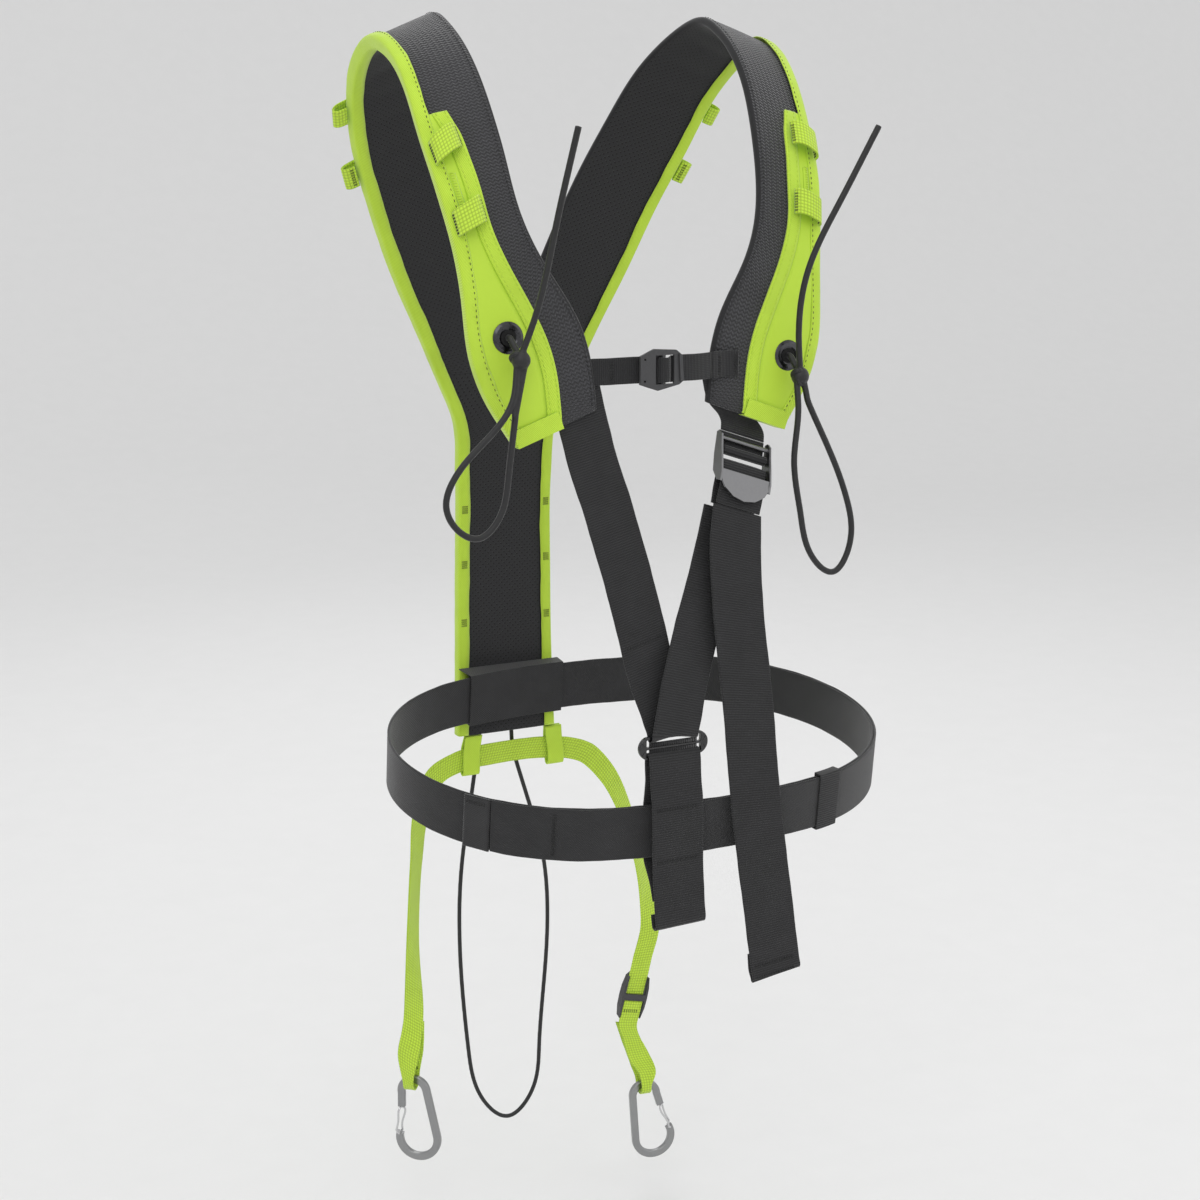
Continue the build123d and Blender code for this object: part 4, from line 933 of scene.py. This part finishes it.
STRAPS = {
    "v_strap": (webbing, (0.43, 0.57), black_thread),
    "connector_strap": (webbing, (0.20, 0.43, 0.60, 0.75), black_thread),
    "adjuster_loop_webbing": (webbing, (), None), "adjuster_threaded_webbing": (webbing, (), None),
    "adjuster_short_webbing": (webbing, (), None),
    "strap_tail": (webbing, (0.075, 0.1), black_thread),
    "sternum_right_strap": (fine_webbing, (0.5,), black_thread),
    "sternum_left_strap": (fine_webbing, (), None), "sternum_window_webbing": (fine_webbing, (), None),
    "sternum_left_patch": (fine_webbing, (0.3, 0.9), black_thread),
    "waist_belt": (twill_belt, (0.003, 0.972), black_thread),
    "belt_tab": (twill_belt, (0.9,), black_thread), "belt_hook_patch": (hook_material, (), None),
    "leash_webbing": (lime_webbing, (0.01, 0.06), dark_thread),
    "leash_loops": (lime_tape, (), None),
    "leash_end_loop": (lime_webbing, (0.12, 0.95), dark_thread)}
for loop_side in ("left", "right"):
    STRAPS[f"{loop_side}_front_gear_loops"] = (lime_webbing, (0.05, 0.95), dark_thread)
    STRAPS[f"{loop_side}_rear_gear_loops"] = (lime_webbing, (0.12,), dark_thread)
SEWN_ON = {"adjuster_threaded_webbing": 1.4 * MM, "leash_loops": 2 * MM}


def build_straps():
    for number, (node, (material, tacks, thread)) in enumerate(STRAPS.items()):
        woven_strap(node, material, 100 + number * 10, tacks, thread)


# ---- stage --------------------------------------------------------------------------------------
CAMERA_AZIMUTH, CAMERA_ELEVATION = math.radians(-26), math.radians(13)
CAMERA_DISTANCE = 1.8
CAMERA_TARGET = Vector((0.0248, 0.0247, 0.1262))
CAMERA_LENS = 65.06


def aim(thing, target):
    thing.rotation_euler = (target - thing.location).to_track_quat("-Z", "Y").to_euler()


def build_camera():
    data = bpy.data.cameras.new("camera")
    data.lens = CAMERA_LENS
    data.sensor_width = 36
    camera = bpy.data.objects.new("camera", data)
    bpy.context.scene.collection.objects.link(camera)
    back = Vector((math.sin(CAMERA_AZIMUTH) * math.cos(CAMERA_ELEVATION),
                   -math.cos(CAMERA_AZIMUTH) * math.cos(CAMERA_ELEVATION), math.sin(CAMERA_ELEVATION)))
    camera.location = CAMERA_TARGET + back * CAMERA_DISTANCE
    aim(camera, CAMERA_TARGET)
    bpy.context.scene.camera = camera


def area_light(name, place, size, power):
    data = bpy.data.lights.new(name, "AREA")
    data.size = size
    data.energy = power
    light = bpy.data.objects.new(name, data)
    bpy.context.scene.collection.objects.link(light)
    light.location = place
    aim(light, CAMERA_TARGET)


def build_stage():
    ground, bend_radius, bend_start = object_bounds()[0][2] - 0.03, 3.0, 3.0
    profile = [(-8.0, ground)]
    for k in range(33):
        angle = math.radians(90 * k / 32)
        profile.append((bend_start + bend_radius * math.sin(angle), ground + bend_radius * (1 - math.cos(angle))))
    profile.append((bend_start + bend_radius, ground + 12.0))
    points = [(x, y, z) for y, z in profile for x in (-14.0, 14.0)]
    faces = [(2 * k, 2 * k + 1, 2 * k + 3, 2 * k + 2) for k in range(len(profile) - 1)]
    pale = plain("pale_floor", (0.80, 0.80, 0.80), (0.84, 0.84, 0.84), 0.9)
    floor = new_object("floor", points, faces, [(x, y) for x, y, _ in points], [pale])
    area_light("key", (-1.3, -2.0, 2.0), 1.6, 15)
    area_light("fill", (2.0, -1.6, 1.0), 2.0, 7)
    area_light("rim", (0.8, 2.0, 1.8), 1.4, 11)
    area_light("top", (0.0, 0.0, 2.6), 1.8, 9)
    world = bpy.data.worlds.new("studio")
    world.use_nodes = True
    world.node_tree.nodes["Background"].inputs["Color"].default_value = (1, 1, 1, 1)
    world.node_tree.nodes["Background"].inputs["Strength"].default_value = 0.8
    bpy.context.scene.world = world
    bpy.context.scene.view_settings.view_transform = "Standard"


build_yoke()
build_straps()
build_small_parts()
build_camera()
build_stage()
